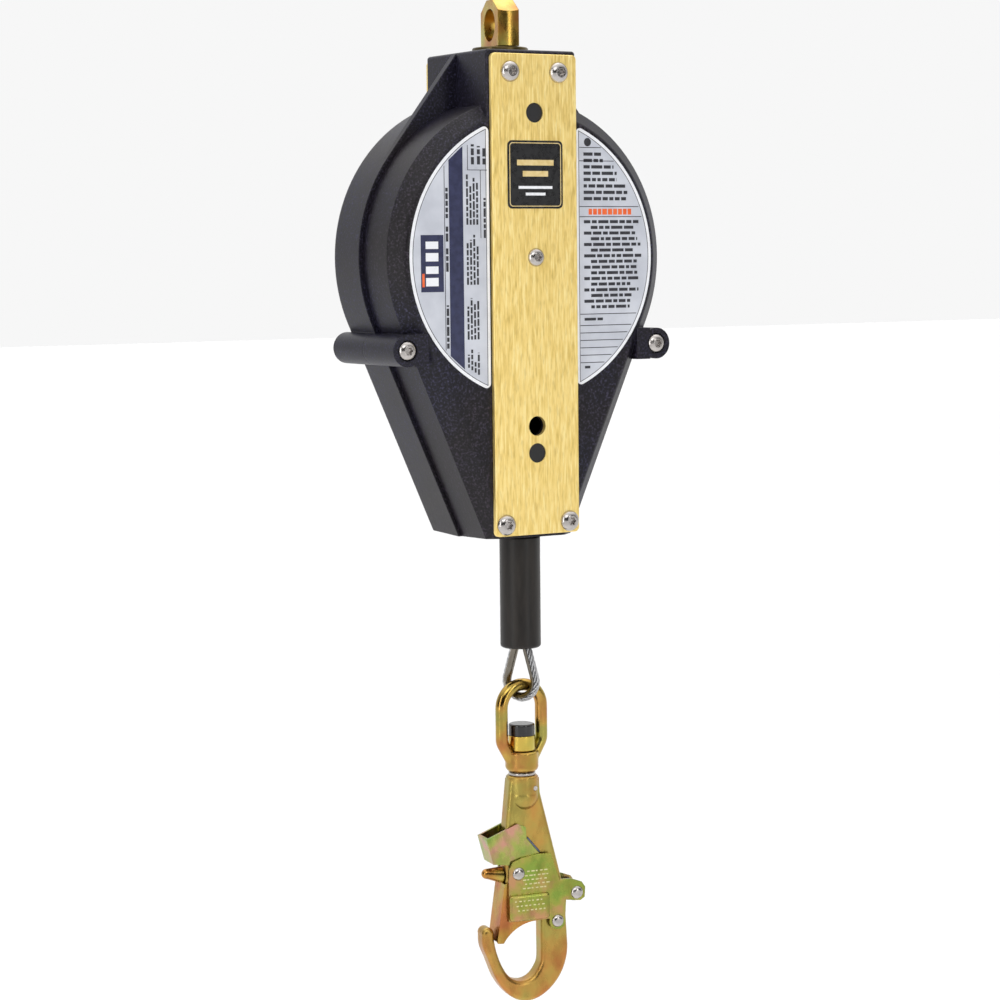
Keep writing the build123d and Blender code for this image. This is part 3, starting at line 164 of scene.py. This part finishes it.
def make_floor():
    """A pale floor, below the hook even when the lifeline is paid out."""
    floor_mesh = bpy.data.meshes.new("floor")
    reach = 40.0
    room_under_hook = 0.06
    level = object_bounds()[0][2] - lifeline_reach - room_under_hook
    corners = [(-reach, -reach, level), (reach, -reach, level), (reach, reach, level), (-reach, reach, level)]
    floor_mesh.from_pydata(corners, [], [(0, 1, 2, 3)])
    floor = bpy.data.objects.new("floor", floor_mesh)
    bpy.context.scene.collection.objects.link(floor)
    pale = bpy.data.materials.new("pale_floor")
    pale.use_nodes = True
    shader = pale.node_tree.nodes["Principled BSDF"]
    shader.inputs["Base Color"].default_value = (0.92, 0.92, 0.92, 1)
    shader.inputs["Roughness"].default_value = 0.95
    floor_mesh.materials.append(pale)


def make_lights():
    centre = (0, 0, -0.3)
    area_light("left_strip", (-1.75, -0.55, 0.05), centre, (0.40, 1.5), 9)
    area_light("right_strip", (0.35, -1.8, 0.1), centre, (0.30, 1.5), 6)
    area_light("high_front", (-0.75, -1.25, 0.95), centre, (1.1, 0.7), 7)
    area_light("top_soft", (0.1, 0.3, 1.2), centre, (1.0, 1.0), 3)


# ---- materials -------------------------------------------------------------------------------------------
class Paint:
    """One node material. Its texture coordinates are the model's own, in metres."""

    def __init__(self, name, metallic=0.0, roughness=0.5, coat=0.0, specular=0.5):
        self.material = bpy.data.materials.new(name)
        self.material.use_nodes = True
        self.nodes = self.material.node_tree.nodes
        self.links = self.material.node_tree.links
        self.shader = self.nodes["Principled BSDF"]
        self.shader.inputs["Metallic"].default_value = metallic
        self.shader.inputs["Roughness"].default_value = roughness
        self.shader.inputs["Specular IOR Level"].default_value = specular
        self.shader.inputs["Coat Weight"].default_value = coat
        self.shader.inputs["Coat Roughness"].default_value = 0.15
        self.place = self.nodes.new("ShaderNodeTexCoord").outputs["Object"]

    def noise(self, scale, detail=3.0, stretch=(1, 1, 1)):
        mapping = self.nodes.new("ShaderNodeMapping")
        mapping.inputs["Scale"].default_value = stretch
        self.links.new(self.place, mapping.inputs["Vector"])
        texture = self.nodes.new("ShaderNodeTexNoise")
        texture.inputs["Scale"].default_value = scale
        texture.inputs["Detail"].default_value = detail
        self.links.new(mapping.outputs["Vector"], texture.inputs["Vector"])
        return texture.outputs["Fac"]

    def ramp(self, value, *stops):
        ramp = self.nodes.new("ShaderNodeValToRGB")
        elements = ramp.color_ramp.elements
        while len(elements) < len(stops):
            elements.new(0.5)
        for element, (position, colour) in zip(elements, stops):
            element.position = position
            element.color = (*colour, 1)
        self.links.new(value, ramp.inputs["Fac"])
        return ramp.outputs["Color"]

    def mix(self, kind, amount, first, second):
        mix = self.nodes.new("ShaderNodeMix")
        mix.data_type = "RGBA"
        mix.blend_type = kind
        mix.inputs["Factor"].default_value = amount
        self.links.new(first, mix.inputs["A"])
        self.links.new(second, mix.inputs["B"])
        return mix.outputs["Result"]

    def colour(self, source):
        self.links.new(source, self.shader.inputs["Base Color"])
        return self

    def rough(self, value, least, most):
        spread = self.nodes.new("ShaderNodeMapRange")
        spread.inputs["From Min"].default_value = 0.3
        spread.inputs["From Max"].default_value = 0.7
        spread.inputs["To Min"].default_value = least
        spread.inputs["To Max"].default_value = most
        self.links.new(value, spread.inputs["Value"])
        self.links.new(spread.outputs["Result"], self.shader.inputs["Roughness"])
        return self

    def bump(self, value, depth, strength=1.0, edge=0.0):
        bump = self.nodes.new("ShaderNodeBump")
        bump.inputs["Distance"].default_value = depth
        bump.inputs["Strength"].default_value = strength
        self.links.new(value, bump.inputs["Height"])
        if edge:
            soft = self.nodes.new("ShaderNodeBevel")
            soft.samples = 4
            soft.inputs["Radius"].default_value = edge
            self.links.new(soft.outputs["Normal"], bump.inputs["Normal"])
        self.links.new(bump.outputs["Normal"], self.shader.inputs["Normal"])
        return self


def casing_plastic():
    paint = Paint("casing_plastic", roughness=0.40, specular=0.28)
    speckle = paint.noise(760, 3.0)
    cloud = paint.noise(16, 4.0)
    # Fine speckle in the plastic's own colour, with painted shade in the speckle's pits and painted glints on
    # its peaks, where the same noise raises the bump.
    pit_painted_shade = (0.38, (0.0040, 0.0035, 0.006))
    flat = (0.54, (0.011, 0.010, 0.019))
    painted_glint = (0.74, (0.050, 0.047, 0.085))
    fine = paint.ramp(speckle, pit_painted_shade, flat, painted_glint)
    broad = paint.ramp(cloud, (0.40, (0.90, 0.74, 0.58)), (0.60, (0.90, 0.90, 1.0)))
    paint.colour(paint.mix("MULTIPLY", 1.0, fine, broad))
    paint.rough(speckle, 0.34, 0.50)
    return paint.bump(speckle, 0.00008, 0.9, edge=0.0012).material


def plate_gold():
    paint = Paint("plate_gold", metallic=0.75, roughness=0.42)
    grain = paint.noise(1.0, 4.0, stretch=(1100, 1100, 90))
    flecks = paint.noise(1.0, 2.0, stretch=(520, 520, 120))
    dark = (0.30, (0.80, 0.57, 0.16))
    gold = (0.50, (0.94, 0.71, 0.25))
    bright = (0.70, (1.0, 0.83, 0.38))
    tone = paint.ramp(grain, dark, gold, bright)
    wear = paint.ramp(flecks, (0.28, (0.78, 0.74, 0.66)), (0.48, (1.0, 1.0, 1.0)))
    paint.colour(paint.mix("MULTIPLY", 0.7, tone, wear))
    paint.rough(grain, 0.36, 0.52)
    return paint.bump(grain, 0.00004, 0.8, edge=0.0003).material


def bright_steel(name, colour, roughness, grain_scale=260):
    paint = Paint(name, metallic=1.0, roughness=roughness)
    grain = paint.noise(grain_scale, 3.0)
    dark = tuple(channel * 0.82 for channel in colour)
    paint.colour(paint.ramp(grain, (0.35, dark), (0.65, colour)))
    paint.rough(grain, roughness * 0.8, roughness * 1.3)
    return paint.bump(grain, 0.00002, 0.6, edge=0.0002).material


def zinc(name, base, warm, cool, roughness, patch_scale=45, edge=0.0008):
    """Yellow passivated zinc: one base tint with rosy and green patches."""
    paint = Paint(name, metallic=1.0, roughness=roughness)
    patches = paint.noise(patch_scale, 3.0)
    streaks = paint.noise(patch_scale * 2.7, 4.0, stretch=(1, 1, 0.45))
    pits = paint.noise(900, 2.0)
    tint = paint.ramp(patches, (0.36, cool), (0.50, base), (0.64, warm))
    shade = paint.ramp(streaks, (0.30, (0.72, 0.72, 0.72)), (0.55, (1.0, 1.0, 1.0)))
    paint.colour(paint.mix("MULTIPLY", 0.85, tint, shade))
    paint.rough(streaks, roughness * 0.75, roughness * 1.5)
    return paint.bump(pits, 0.00003, 0.7, edge=edge).material


def black_rubber():
    paint = Paint("black_rubber", roughness=0.5, specular=0.32)
    skin = paint.noise(700, 3.0)
    lengthwise = paint.noise(1.0, 3.0, stretch=(240, 240, 40))
    paint.colour(paint.ramp(lengthwise, (0.35, (0.008, 0.006, 0.005)), (0.68, (0.020, 0.016, 0.013))))
    paint.rough(lengthwise, 0.34, 0.50)
    return paint.bump(skin, 0.00004, 0.7).material


def plain(name, dark, light, roughness, coat=0.0, scale=300):
    """Paint, ink or moulding in two close tints, with a very fine grain."""
    paint = Paint(name, roughness=roughness, coat=coat)
    grain_depth = 0.00001
    grain = paint.noise(scale, 3.0)
    paint.colour(paint.ramp(grain, (0.35, dark), (0.65, light)))
    paint.rough(grain, roughness * 0.85, roughness * 1.15)
    return paint.bump(grain, grain_depth, 0.5).material


def rope_steel():
    """Galvanised wire strands. Fine wires wind round each strand, laid out on the strand's own UV map."""
    paint = Paint("rope_steel", metallic=1.0, roughness=0.3)
    layout = paint.nodes.new("ShaderNodeUVMap")
    layout.uv_map = "lay"
    wires = paint.nodes.new("ShaderNodeTexWave")
    wires.wave_type = "BANDS"
    wires.bands_direction = "X"
    wires.inputs["Scale"].default_value = 1.0
    wires.inputs["Distortion"].default_value = 0.0
    paint.links.new(layout.outputs["UV"], wires.inputs["Vector"])
    # The wire bands carry painted shade in the grooves between the wires and a painted highlight on each
    # wire's crest.
    painted_groove_shade = (0.12, (0.26, 0.26, 0.27))
    flank = (0.45, (0.52, 0.52, 0.53))
    painted_crest_highlight = (0.9, (0.72, 0.72, 0.73))
    paint.colour(paint.ramp(wires.outputs["Fac"], painted_groove_shade, flank, painted_crest_highlight))
    return paint.bump(wires.outputs["Fac"], 0.00012, 1.0).material


materials = {
    "casing": casing_plastic(),
    "plate": plate_gold(),
    "stainless": bright_steel("stainless", (0.50, 0.47, 0.45), 0.22),
    "steel": bright_steel("steel", (0.50, 0.50, 0.52), 0.34),
    "alloy": bright_steel("drum_alloy", (0.62, 0.62, 0.63), 0.42, 180),
    "bronze": bright_steel("bronze", (0.60, 0.38, 0.16), 0.3),
    "blued": bright_steel("blued_steel", (0.16, 0.18, 0.25), 0.3),
    "eye_zinc": zinc("eye_zinc", (0.50, 0.30, 0.06), (0.42, 0.17, 0.04), (0.52, 0.45, 0.11), 0.26),
    "washer_zinc": zinc("washer_zinc", (0.12, 0.09, 0.035), (0.08, 0.06, 0.03), (0.16, 0.12, 0.05), 0.36),
    "bow_zinc": zinc("bow_zinc", (0.48, 0.31, 0.07), (0.44, 0.19, 0.06), (0.36, 0.32, 0.08), 0.17),
    "nut_zinc": zinc("nut_zinc", (0.66, 0.50, 0.10), (0.62, 0.40, 0.09), (0.56, 0.50, 0.12), 0.16),
    "hook_zinc": zinc(
        "hook_zinc", (0.47, 0.28, 0.07), (0.47, 0.20, 0.06), (0.40, 0.32, 0.08), 0.26, edge=0.0012
    ),
    "gate_zinc": zinc(
        "gate_zinc", (0.50, 0.26, 0.06), (0.48, 0.17, 0.06), (0.44, 0.34, 0.08), 0.24, 60, edge=0.0004
    ),
    "lock_zinc": zinc(
        "lock_zinc", (0.34, 0.34, 0.07), (0.50, 0.27, 0.13), (0.24, 0.33, 0.06), 0.24, 62, edge=0.0004
    ),
    "latch_zinc": zinc(
        "latch_zinc", (0.36, 0.38, 0.10), (0.54, 0.28, 0.20), (0.25, 0.36, 0.08), 0.24, 66, edge=0.0004
    ),
    "rubber": black_rubber(),
    "gloss_black": plain("gloss_black", (0.004, 0.004, 0.005), (0.009, 0.009, 0.010), 0.2, coat=0.3),
    "hole_black": plain("hole_black", (0.004, 0.004, 0.005), (0.007, 0.007, 0.009), 0.5),
    "label": plain("label_face", (0.50, 0.52, 0.58), (0.60, 0.62, 0.68), 0.32, coat=0.4, scale=60),
    "label_rim": plain("label_rim", (0.80, 0.81, 0.84), (0.86, 0.87, 0.90), 0.3, coat=0.4, scale=120),
    "ink": plain("label_ink", (0.016, 0.016, 0.022), (0.026, 0.026, 0.034), 0.45),
    "navy": plain("label_navy", (0.012, 0.015, 0.055), (0.020, 0.024, 0.080), 0.35, coat=0.3),
    "orange": plain("label_orange", (0.78, 0.11, 0.02), (0.84, 0.15, 0.03), 0.35, coat=0.3),
    "badge": plain("badge_black", (0.008, 0.008, 0.009), (0.014, 0.014, 0.015), 0.28, coat=0.5),
    "badge_gold": plain("badge_gold", (0.62, 0.46, 0.18), (0.74, 0.58, 0.28), 0.4),
    "mark": plain("stamped_mark", (0.60, 0.55, 0.25), (0.70, 0.64, 0.34), 0.4),
    "lining": plain("brake_lining", (0.06, 0.045, 0.035), (0.11, 0.085, 0.065), 0.8, scale=500),
    "rope": rope_steel(),
    # The rope's core, near black: painted shade in the gaps between the strands.
    "rope_core_painted_shade": plain("rope_core_painted_shade", (0.006, 0.006, 0.006), (0.014, 0.013, 0.012), 0.6),
    "thimble": bright_steel("thimble_steel", (0.20, 0.18, 0.15), 0.25),
}

look_of_node = {
    "anchor_eye": "eye_zinc",
    "anchor_washer": "washer_zinc",
    "front_housing": "casing",
    "rear_housing": "casing",
    "front_side_plate": "plate",
    "rear_side_plate": "plate",
    "plate_screws": "stainless",
    "axle_screws": "stainless",
    "lug_screws": "stainless",
    "lug_nuts": "stainless",
    "cover_screws": "stainless",
    "hook_pins": "stainless",
    "lever_pivot_pin": "stainless",
    "lock_pins": "stainless",
    "swivel_washer": "stainless",
    "thimble": "thimble",
    "hole_plugs": "hole_black",
    "badge": "badge",
    "label_left": "label_rim",
    "label_right": "label_rim",
    "nozzle_block": "gloss_black",
    "cable_nozzle": "gloss_black",
    "swivel_cap": "gloss_black",
    "bumper": "rubber",
    "swivel_bow": "bow_zinc",
    "swivel_nut": "nut_zinc",
    "hook_body": "hook_zinc",
    "gate": "gate_zinc",
    "thumb_latch": "latch_zinc",
    "lock_plate_front": "lock_zinc",
    "lock_plate_rear": "lock_zinc",
    "friction_discs": "lining",
    "thrust_washer": "bronze",
    "drum_bushes": "bronze",
    "power_spring": "blued",
    "disc_spring": "blued",
    "pawl_springs": "blued",
    "gate_spring": "blued",
    "latch_spring": "blued",
    "lever_spring": "blued",
    "cable_drum": "alloy",
    "spring_cover": "alloy",
    "anchor_block": "alloy",
    "ferrule": "alloy",
}


def paint_nodes():
    for name, node in nodes.items():
        material = materials[look_of_node.get(name, "steel")]
        if not node.material_slots:
            node.data.materials.append(material)
        for slot in node.material_slots:
            slot.material = material


# ---- flat prints on the casing ---------------------------------------------------------------------------
LABEL_FIELD_RADIUS = 83.5           # of a label's printed field, in millimetres
PRINT_THICKNESS = 0.05 * MM


def add_piece(name, vertices, faces, material, body):
    mesh = bpy.data.meshes.new(name)
    mesh.from_pydata(vertices, [], faces)
    mesh.materials.append(materials[material])
    piece = bpy.data.objects.new(name, mesh)
    bpy.context.scene.collection.objects.link(piece)
    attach(piece, body)
    return piece


def print_shapes(name, outlines, depth, material):
    """Printed shapes on the casing's front. An outline is a list of (x, z) in metres, seen from the front."""
    vertices = []
    faces = []
    for outline in outlines:
        start = len(vertices)
        count = len(outline)
        vertices += [(x, depth - PRINT_THICKNESS, z) for x, z in outline]
        vertices += [(x, depth, z) for x, z in outline]
        faces.append(tuple(range(start, start + count)))
        for i in range(count):
            j = (i + 1) % count
            faces.append((start + i, start + i + count, start + j + count, start + j))
    return add_piece(name, vertices, faces, material, "casing")


def print_ring(name, outer, inner, depth, material):
    """A printed line between two outlines that have as many points."""
    count = len(outer)
    strips = []
    for i in range(count):
        j = (i + 1) % count
        strips.append([outer[i], outer[j], inner[j], inner[i]])
    return print_shapes(name, strips, depth, material)


def bar(x, z, width, height):
    return [(x, z), (x + width, z), (x + width, z + height), (x, z + height)]


def label_outline(side, inset, steps=48):
    """The round side and the straight edge of a label, that far inside its rim."""
    box_low, box_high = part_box("label_left")
    radius = drum_centre.x - box_low.x - inset
    straight = drum_centre.x - box_high.x + inset
    reach = acos(straight / radius)
    points = []
    for i in range(steps + 1):
        angle = -reach + 2 * reach * i / steps
        points.append((side * radius * cos(angle), drum_centre.z + radius * sin(angle)))
    return points


def words(seed, start, end, gap, least, most):
    """Stretches that stand for words along a line of print, uneven but the same on each run."""
    stretches = []
    place = start
    while place < end:
        share = abs(noise.noise(Vector((seed * 1.7, len(stretches) * 2.3, 0.5)))) * 1.9
        length = min(least + (most - least) * min(share, 1.0), end - place)
        stretches.append((place, length))
        place += length + gap
    return stretches


def half_chord(level, radius):
    """Half the length of a circle's chord at that distance from its centre."""
    return (radius**2 - level**2) ** 0.5


def chord(level, inset):
    """How far a row at that height runs before it meets a label's rim, in millimetres."""
    return half_chord(level, LABEL_FIELD_RADIUS) - inset


def left_text():
    """Columns of bars that stand for small print that reads upwards, in groups along each column."""
    text_radius = 81.0
    bars = []

    def column_of_bars(seed, x, start, end, gap, least, most, width):
        for place, length in words(seed, start, end, gap, least, most):
            bars.append(bar(x * MM, drum_centre.z + place * MM, width * MM, length * MM))

    groups = [(-77, -55), (-49, -22), (-16, 14), (20, 50)]
    for k, column in enumerate((-47.0, -44.7, -42.4, -40.1)):
        for i, (start, end) in enumerate(groups):
            last = end - (3, 0, 7, 2, 5)[(k + 2 * i) % 5]
            first = max(start, -half_chord(column, text_radius))
            column_of_bars(k + 4 * i, column, first, last, 0.9, 1.8, 5.2, width=1.35)
    for i, (start, end) in enumerate(((-54, -28), (-8, 6), (10, 19), (24, 42))):
        column_of_bars(i + 31, -61.3, start, end, 1.0, 2.4, 5.5, width=1.7)
    for i, column in enumerate((-43.4, -39.2, -35.4)):
        column_of_bars(i + 51, column, 56, 68 - i, 1.1, 2.8, 5.0, width=2.1)
    column_of_bars(71, -35.0, 12, 36, 0.9, 2.4, 5.2, width=1.5)
    return bars


def ring_sign(x, z, radius, corners=16):
    """A plain round sign."""
    angles = [2 * pi * k / corners for k in range(corners)]
    return [(x + radius * cos(angle), z + radius * sin(angle)) for angle in angles]


def right_text():
    """Rows of bars that stand for paragraphs, above and below the heading, and short lines at the foot."""
    z = drum_centre.z
    text_radius = 80.5
    margin = 36.5
    foot_end = 50.0
    above = [(62.0 - 3.9 * k, 2.0) for k in range(8)]
    below = [(20.6 - 3.5 * k, 1.9) for k in range(16)]
    foot = [(-39.4, 1.7), (-69.0, 1.6), (-73.0, 1.6)]
    bars = [ring_sign(39.5 * MM, z + 70.3 * MM, 2.6 * MM)]
    for k, (level, height) in enumerate(above + below + foot):
        edge = half_chord(level, text_radius)
        in_foot = k >= len(above + below)
        indented = len(above) <= k and not in_foot and k % 2
        indent = 5.0 if indented else 0.0
        end = min(edge - 1.0, foot_end) if in_foot else edge - (2.0, 5.0, 1.0)[k % 3] - indent * 0.6
        for place, length in words(k + 11, margin + indent, end, 1.1, 2.4, 8.4):
            bars.append(bar(place * MM, z + level * MM, length * MM, height * MM))
    return bars


def label_strip():
    """The upright strip on the left label, cut to the round of the printed field."""
    z = drum_centre.z
    outer = 58.9
    inner = 49.2
    outer_reach = chord(outer, 0.6)
    inner_reach = chord(inner, 0.6)
    return [
        (-outer * MM, z - outer_reach * MM),
        (-inner * MM, z - inner_reach * MM),
        (-inner * MM, z + inner_reach * MM),
        (-outer * MM, z + outer_reach * MM),
    ]


def label_rules():
    """Thin rules: an upright one and three short ones on the left label, and rows on the right one."""
    z = drum_centre.z
    thin = 0.4 * MM
    upright = 62.2
    reach = chord(upright, 0.6)
    rules = [bar(-upright * MM, z - reach * MM, thin, 2 * reach * MM)]
    rules.append(bar(-46.0 * MM, z + 52.5 * MM, 13.6 * MM, thin))
    rules.append(bar(-37.2 * MM, z + 12.0 * MM, thin, 40.5 * MM))
    rules.append(bar(-46.0 * MM, z + 52.5 * MM, thin, 15.0 * MM))
    start = 33.5
    for level in (66.8, 58.6, 30.6, 24.4, -35.6, -42.6, -47.2, -51.8, -56.4, -61.0, -65.6):
        rules.append(bar(start * MM, z + level * MM, (chord(level, 0.8) - start) * MM, 0.45 * MM))
    return rules


def dress_labels():
    z = drum_centre.z
    face = low("label_left").y
    over_face = face - 0.06 * MM
    over_print = face - 0.12 * MM
    line_outside = 1.9 * MM
    line_inside = 2.3 * MM
    for side, name in ((-1, "left"), (1, "right")):
        outside = label_outline(side, line_outside)
        inside = label_outline(side, line_inside)
        print_ring(f"label_line_{name}", outside, inside, face, "ink")
        print_shapes(f"label_field_{name}", [inside[::side]], face, "label")
    block = bar(-78.5 * MM, z - 20.0 * MM, 15.5 * MM, 34 * MM)
    rises = (5.0, 4.4, 5.0, 4.4)
    inlay = [bar(-75.2 * MM, z - (16.5 - 7.4 * k) * MM, 8.6 * MM, rise * MM) for k, rise in enumerate(rises)]
    accent = bar(-77.7 * MM, z - 17.0 * MM, 1.6 * MM, 8 * MM)
    stretches = words(5, 40.0, 72.0, 0.8, 2.4, 3.4)
    heading = [bar(place * MM, z + 25.9 * MM, length * MM, 3.6 * MM) for place, length in stretches]
    print_shapes("label_strip", [label_strip()], over_face, "navy")
    print_shapes("label_block", [block], over_face, "navy")
    print_shapes("label_block_inlay", inlay, over_print, "label_rim")
    print_shapes("label_block_accent", [accent], over_print, "orange")
    print_shapes("label_text_left", left_text(), over_face, "ink")
    print_shapes("label_rules", label_rules(), over_face, "ink")
    print_shapes("label_heading", heading, over_face, "orange")
    print_shapes("label_text_right", right_text(), over_face, "ink")


def rounded_box(centre_x, centre_z, width, height, corner, steps=6):
    points = []
    for turn, (sx, sz) in enumerate(((1, 1), (-1, 1), (-1, -1), (1, -1))):
        for k in range(steps + 1):
            angle = pi / 2 * (turn + k / steps)
            x = centre_x + sx * (width / 2 - corner) + corner * cos(angle)
            z = centre_z + sz * (height / 2 - corner) + corner * sin(angle)
            points.append((x, z))
    return points


def dress_badge():
    face = low("badge").y
    centre = middle("badge")
    width = high("badge").x - low("badge").x
    height = high("badge").z - low("badge").z
    outer = rounded_box(centre.x, centre.z, width - 2.4 * MM, height - 2.4 * MM, 2.4 * MM)
    inner = rounded_box(centre.x, centre.z, width - 3.4 * MM, height - 3.4 * MM, 1.9 * MM)
    print_ring("badge_border", outer, inner, face, "badge_gold")

    def across(half_width, foot, height):
        """A bar across the badge's middle line, its foot that far above the centre, in millimetres."""
        return bar(centre.x - half_width * MM, centre.z + foot * MM, 2 * half_width * MM, height * MM)

    bars = [across(13, 5.5, 3.4), across(9, -1.2, 3.4)]
    lines = [across(12, -8.6, 1.7), across(7, -12.6, 1.7)]
    print_shapes("badge_bars", bars, face, "badge_gold")
    print_shapes("badge_lines", lines, face, "label_rim")


# ---- wire rope -------------------------------------------------------------------------------------------
def rope_mesh(name, path, radius, lay, strands=6, sides=10):
    """Strands wound round a path, with a near-black core in their gaps as painted shade between the strands.

    path is a list of (point, along, across) and lay is one turn's length.
    """
    wire_pitch = 2.2 * MM
    wires_along = 0.32
    wires_round = 1.6
    strand_radius = radius * 0.31
    wind_radius = radius - strand_radius
    mesh = bpy.data.meshes.new(name)
    shape = bmesh.new()
    layout = shape.loops.layers.uv.new("lay")
    travelled = [0.0]
    for (a, _, _), (b, _, _) in zip(path, path[1:]):
        travelled.append(travelled[-1] + (b - a).length)
    routes = [(wind_radius, strand_radius, 2 * pi * k / strands) for k in range(strands)]
    # The core is coloured near black: painted shade in the gaps between the strands.
    routes.append((0.0, radius - 1.2 * strand_radius, 0.0))
    for offset, thickness, phase in routes:
        in_gap = offset == 0.0
        rings = []
        for (point, along, across), run in zip(path, travelled):
            binormal = along.cross(across)
            angle = phase + 2 * pi * run / lay
            outward = across * cos(angle) + binormal * sin(angle)
            sideways = binormal * cos(angle) - across * sin(angle)
            centre = point + outward * offset
            ring = []
            for i in range(sides):
                turn = 2 * pi * i / sides
                spoke = (outward * cos(turn) + sideways * sin(turn)) * thickness
                ring.append(shape.verts.new(centre + spoke))
            rings.append(ring)
        for k in range(len(rings) - 1):
            for i in range(sides):
                j = (i + 1) % sides
                face = shape.faces.new((rings[k][i], rings[k][j], rings[k + 1][j], rings[k + 1][i]))
                face.smooth = True
                face.material_index = 1 if in_gap else 0
                corners = ((i, k), (i + 1, k), (i + 1, k + 1), (i, k + 1))
                for loop, (around, step) in zip(face.loops, corners):
                    turn = around / sides * wires_round
                    loop[layout].uv = (turn - travelled[step] / wire_pitch * wires_along, 0)
        shape.faces.new(rings[0][::-1])
        shape.faces.new(rings[-1])
    shape.normal_update()
    shape.to_mesh(mesh)
    shape.free()
    mesh.materials.append(materials["rope"])
    mesh.materials.append(materials["rope_core_painted_shade"])
    piece = bpy.data.objects.new(name, mesh)
    bpy.context.scene.collection.objects.link(piece)
    return piece


def straight_path(start, end, steps):
    along = (end - start).normalized()
    across = Vector((1, 0, 0))
    return [(start.lerp(end, i / steps), along, across) for i in range(steps + 1)]


def make_tail():
    """The lifeline between the casing and the bumper, as a fixed straight piece; the real one pays out as the
    drum turns.
    """
    radius = (high("lifeline_tail").x - low("lifeline_tail").x) / 2
    top = Vector((0, line_y, high("lifeline_tail").z))
    bottom = Vector((0, line_y, low("lifeline_tail").z))
    rope = rope_mesh("lifeline_rope", straight_path(bottom, top, steps=96), radius, lay=24 * MM)
    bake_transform(rope)
    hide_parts("lifeline_tail")


def eye_outline(loop_radius, leg_half, leg_rise, steps=40):
    """The loop in its own plane, from the top of one leg. The legs touch the round at a tangent."""
    touch = atan2(leg_rise, leg_half) - acos(loop_radius / hypot(leg_rise, leg_half))
    corner = (loop_radius * cos(touch), loop_radius * sin(touch))
    outline = []
    for i in range(steps):
        share = i / steps
        outline.append((leg_half + (corner[0] - leg_half) * share, leg_rise + (corner[1] - leg_rise) * share))
    for i in range(2 * steps + 1):
        angle = touch - (pi + 2 * touch) * i / (2 * steps)
        outline.append((loop_radius * cos(angle), loop_radius * sin(angle)))
    for i in range(steps - 1, -1, -1):
        outline.append((-outline[i][0], outline[i][1]))
    return outline


def make_cable_eye():
    """The cable's loop: down one leg, round the thimble and up the other."""
    box_low, box_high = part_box("lifeline_eye")
    radius = 2.5 * MM
    loop_radius = 10.6 * MM
    half_gap = 0.15 * MM
    turn = radians(-60.0)
    sideways = Vector((cos(turn), sin(turn), 0))
    centre = Vector((0, line_y, box_low.z + radius + loop_radius))
    outline = eye_outline(loop_radius, radius + half_gap, box_high.z - centre.z)
    points = [centre + sideways * u + Vector((0, 0, v)) for u, v in outline]
    square = sideways.cross(Vector((0, 0, 1)))
    path = []
    for i, point in enumerate(points):
        ahead = points[min(i + 1, len(points) - 1)] - points[max(i - 1, 0)]
        path.append((point, ahead.normalized(), square))
    rope = rope_mesh("cable_eye_rope", path, radius, lay=22 * MM)
    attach(rope, "lifeline_end")
    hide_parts("lifeline_eye")


# ---- hook marks ------------------------------------------------------------------------------------------
def hook_plane():
    """The hook's sideways and facing directions, read from its gate's joint."""
    joint = next(j for j in frame["joints"] if j["name"] == "gate_hinge")
    facing = Vector(joint["axis"]).normalized()
    return Vector((0, 0, 1)).cross(facing), facing


def hook_marks():
    """Rows of short stamped dashes on the lock plate, where such a hook carries its rating."""
    sideways, facing = hook_plane()
    top = high("hook_body").z
    plate = nodes["lock_plate_front"].data.vertices
    axis = Vector((0, line_y, top))
    distances = sorted((vertex.co - axis).dot(facing) for vertex in plate)
    proud = 0.03 * MM
    plate_thickness = 1.5 * MM
    flat = distances[0] + plate_thickness + proud
    crown = distances[-1] + proud
    dash_height = 0.8
    dash_pitch = 2.9
    vertices = []
    faces = []

    def row_of_dashes(u, v, widths, depth):
        for width in widths:
            start = len(vertices)
            for du, dv in ((0, 0), (width, 0), (width, dash_height), (0, dash_height)):
                place = sideways * ((u + du) * MM) + Vector((0, 0, (v + dv) * MM))
                vertices.append(axis + place + facing * depth)
            faces.append((start, start + 1, start + 2, start + 3))
            u += dash_pitch

    for row, level in enumerate((-60.5, -63.2, -65.9, -68.6, -71.3)):
        widths = [1.3 + 0.5 * ((i + row) % 3) for i in range(6)]
        row_of_dashes(-4.0 + (row % 2) * 1.5, level, widths, flat)
    for row, level in enumerate((-78.6, -81.6, -84.6)):
        widths = [1.2 + 0.5 * ((i + row) % 2) for i in range(7)]
        row_of_dashes(-10.5 + row, level, widths, crown)
    add_piece("lock_plate_marks", vertices, faces, "mark", "lock_lever")


make_camera()
make_world()
make_floor()
make_lights()
paint_nodes()
dress_labels()
dress_badge()
make_tail()
make_cable_eye()
hook_marks()

bpy.context.view_layer.update()
